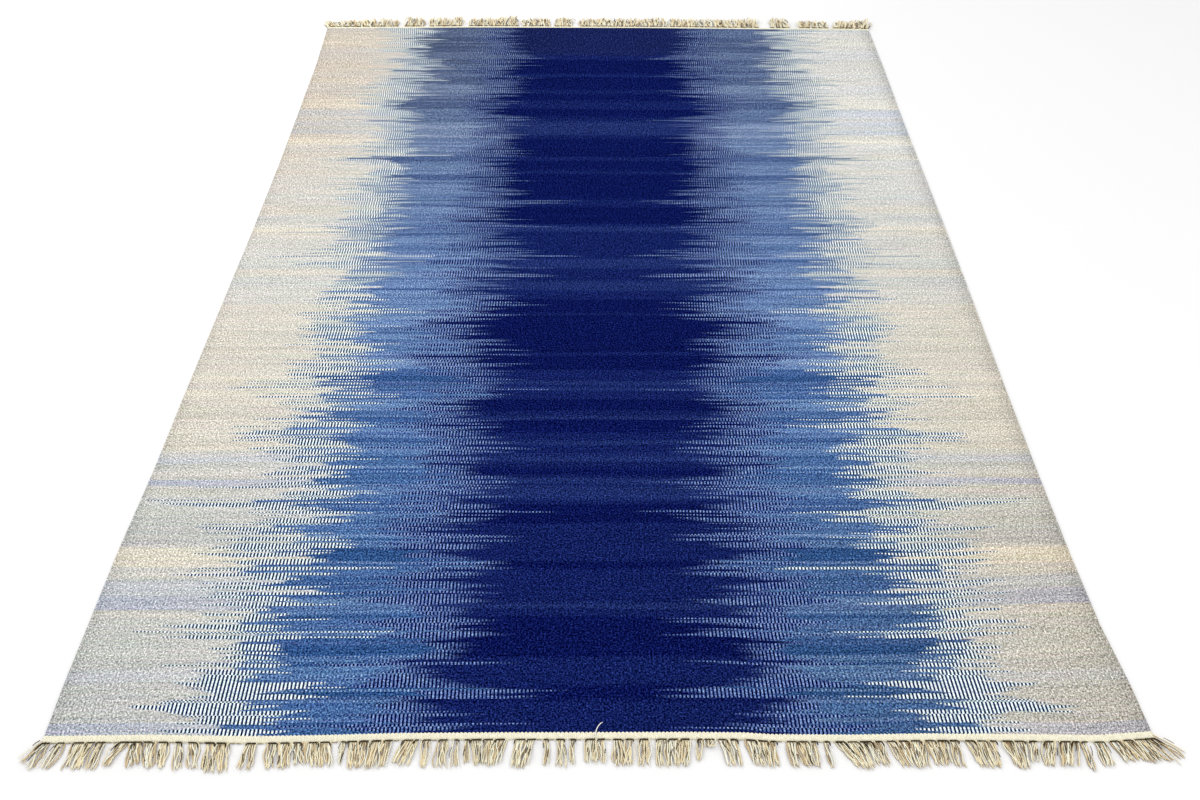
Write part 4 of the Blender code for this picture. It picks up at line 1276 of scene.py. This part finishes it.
def warp_fringe(end, bunches, clinging, sway, lift, seed):
    """The strands of one end, bunch by bunch, with the shadow of a twining thread painted over their roots.
    """
    chance = random.Random(seed)
    mesh = strand_mesh()
    strands = []
    covered = 0.0
    for bunch in bunches:
        # Painted shadow: where no bunch lies, a faint brown line along the heading's edge.
        while covered + 1.2 < bunch[0]:
            near = Vector((*heading_edge(covered + 0.2, end, 0.0006), 0.0014))
            far = Vector((*heading_edge(covered + 1.1, end, 0.0006), 0.0014))
            strands.append((arc_path(near, far, Vector((0.0, 0.0, -0.0006))), 0.0006, TWINE_FAINT_SHADOW_TONE))
            covered += TWINING_PITCH / 2
        strands += bunch_strands(end, bunch, clinging, sway, lift, chance)
        strands += twining_shadow_arcs(end, bunch, chance)
        covered = bunch[1]
    for cell, (path, radius, tone) in enumerate(strands):
        add_strand(mesh, path, radius, tone, cell)
    return mesh


def cotton_warp():
    """Two-ply cotton: creamy on top, with painted brown shade on its sides and underside, between strands."""
    material, tree, shader = new_material("cotton warp", 0.85, 0.1)
    tone = add_node(tree, "ShaderNodeAttribute", attribute_name="tone").outputs["Color"]
    strand_map = add_node(tree, "ShaderNodeUVMap", uv_map="strand").outputs[0]
    place = add_node(tree, "ShaderNodeSeparateXYZ", {0: strand_map})
    around, along = place.outputs[0], place.outputs[1]
    # Painted shade: each strand is darkened to brown on its sides and underside and kept light on top.
    top = reckon(tree, "SINE", reckon(tree, "MULTIPLY", around, 2.0 * math.pi))
    painted_crease_shade = ramp(tree, top, 0.55, -0.3)
    twist = reckon(tree, "MULTIPLY", around, 4.0 * math.pi)
    plies = reckon(tree, "SINE", reckon(tree, "MULTIPLY_ADD", along, 2.0 * math.pi / PLY_TWIST, twist))
    crease_shade_colour = blended(tree, 1.0, tone, (0.22, 0.15, 0.08, 1.0), blend="MULTIPLY")
    colour = blended(tree, painted_crease_shade, tone, crease_shade_colour)
    # Painted shade along the twist: the plies' grooves a little darker, their ridges a little lighter.
    colour = scaled(tree, colour, reckon(tree, "MULTIPLY_ADD", plies, 0.08, 1.0))
    spin(tree, shader, colour, strand_map, fleck_size=0.0015, flecks=0.2, streaks=0.1)
    emboss(tree, shader, plies, strength=0.5, distance=0.0003)
    return material


COTTON_WARP = cotton_warp()
for name, end, bunches, clinging, sway, lift, seed in FRINGE_ENDS:
    fringe = finished("warps_" + name, warp_fringe(end, bunches, clinging, sway, lift, seed), COTTON_WARP)
    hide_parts(name)
    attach(fringe, "root")

# ---- Loose thread ----------------------------------------------------------------------------------------
# A broken warp end that works out of the front heading, and lies over it onto the wool in a small S.

THREAD_RADIUS = 0.0009
THREAD_TONE = (1.0, 1.0, 0.96)
THREAD_BENDS = (
    # across, along, height over the floor
    (-0.0095, -1.1985, 0.0040),
    (-0.0080, -1.1930, 0.0056),
    (-0.0065, -1.1860, 0.0050),
    (-0.0035, -1.1800, 0.0049),
    (0.0005, -1.1755, 0.0050),
    (0.0040, -1.1735, 0.0048),
)


def thread_path(part):
    """Smoothly through the thread's bends."""
    place = part * (len(THREAD_BENDS) - 1)
    number = min(int(place), len(THREAD_BENDS) - 2)
    share = soft_step(place - number, 0.0, 1.0)
    before, after = THREAD_BENDS[number], THREAD_BENDS[number + 1]
    across, along, height = [low + (high - low) * share for low, high in zip(before, after)]
    x, y = on_floor(across, along)
    return Vector((x, y, height))


thread_mesh = strand_mesh()
add_strand(thread_mesh, thread_path, THREAD_RADIUS, THREAD_TONE, 0)
loose_thread = finished("loose_thread", thread_mesh, COTTON_WARP)
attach(loose_thread, "root")

# ---- Studio ----------------------------------------------------------------------------------------------
# A pale floor under a broad, even light, and the camera where a person stands at the front end.

FLOOR_HALF = 30.0
FLOOR_DROP = 0.0002
FLOOR_COLOUR = (0.92, 0.92, 0.92, 1.0)
DAYLIGHT = 0.85
CAMERA_LENS = 31.44
CAMERA_SENSOR = 36.0
CAMERA_PLACE = (-0.016, -1.974)  # across and along from the middle of the cloth
CAMERA_HEIGHT = 1.511
CAMERA_TURN = -0.63  # degrees, like the tip down and the lean
CAMERA_TIP = 44.92
CAMERA_LEAN = 0.49

floor_mesh = bmesh.new()
bmesh.ops.create_grid(floor_mesh, x_segments=1, y_segments=1, size=FLOOR_HALF)
bmesh.ops.translate(floor_mesh, vec=(0.0, 0.0, -FLOOR_DROP), verts=floor_mesh.verts)
floor_material = bpy.data.materials.new("studio floor")
floor_material.use_nodes = True
floor_shader = floor_material.node_tree.nodes["Principled BSDF"]
floor_shader.inputs["Base Color"].default_value = FLOOR_COLOUR
floor_shader.inputs["Roughness"].default_value = 0.9
studio_floor = finished("studio_floor", floor_mesh, floor_material)

world = bpy.data.worlds.new("soft daylight")
world.use_nodes = True
world.node_tree.nodes["Background"].inputs["Color"].default_value = (1.0, 1.0, 1.0, 1.0)
world.node_tree.nodes["Background"].inputs["Strength"].default_value = DAYLIGHT
bpy.context.scene.world = world


def soft_light(name, place, aim, size, power):
    """A large square lamp."""
    lamp = bpy.data.lights.new(name, "AREA")
    lamp.shape = "SQUARE"
    lamp.size = size
    lamp.energy = power
    light = bpy.data.objects.new(name, lamp)
    direction = Vector(aim) - Vector(place)
    light.matrix_world = Matrix.Translation(place) @ direction.to_track_quat("-Z", "Y").to_matrix().to_4x4()
    bpy.context.scene.collection.objects.link(light)


soft_light("window", (-2.6, 1.8, 2.8), (0.0, 0.0, 0.0), 2.2, 60.0)
soft_light("fill", (2.2, -2.4, 3.0), (0.0, 0.0, 0.0), 2.2, 25.0)

camera_data = bpy.data.cameras.new("camera")
camera_data.lens = CAMERA_LENS
camera_data.sensor_width = CAMERA_SENSOR
camera = bpy.data.objects.new("camera", camera_data)
turn = Matrix.Rotation(math.radians(CAMERA_TURN), 4, "Z")
tip_down = Matrix.Rotation(math.radians(90.0 - CAMERA_TIP), 4, "X")
lean = Matrix.Rotation(math.radians(CAMERA_LEAN), 4, "Z")
camera_x, camera_y = [part + middle for part, middle in zip(CAMERA_PLACE, CLOTH_MIDDLE)]
place = Matrix.Translation((camera_x, camera_y, CAMERA_HEIGHT))
camera.matrix_world = place @ turn @ tip_down @ lean
bpy.context.scene.collection.objects.link(camera)
bpy.context.scene.camera = camera
bpy.context.scene.view_settings.view_transform = "Standard"
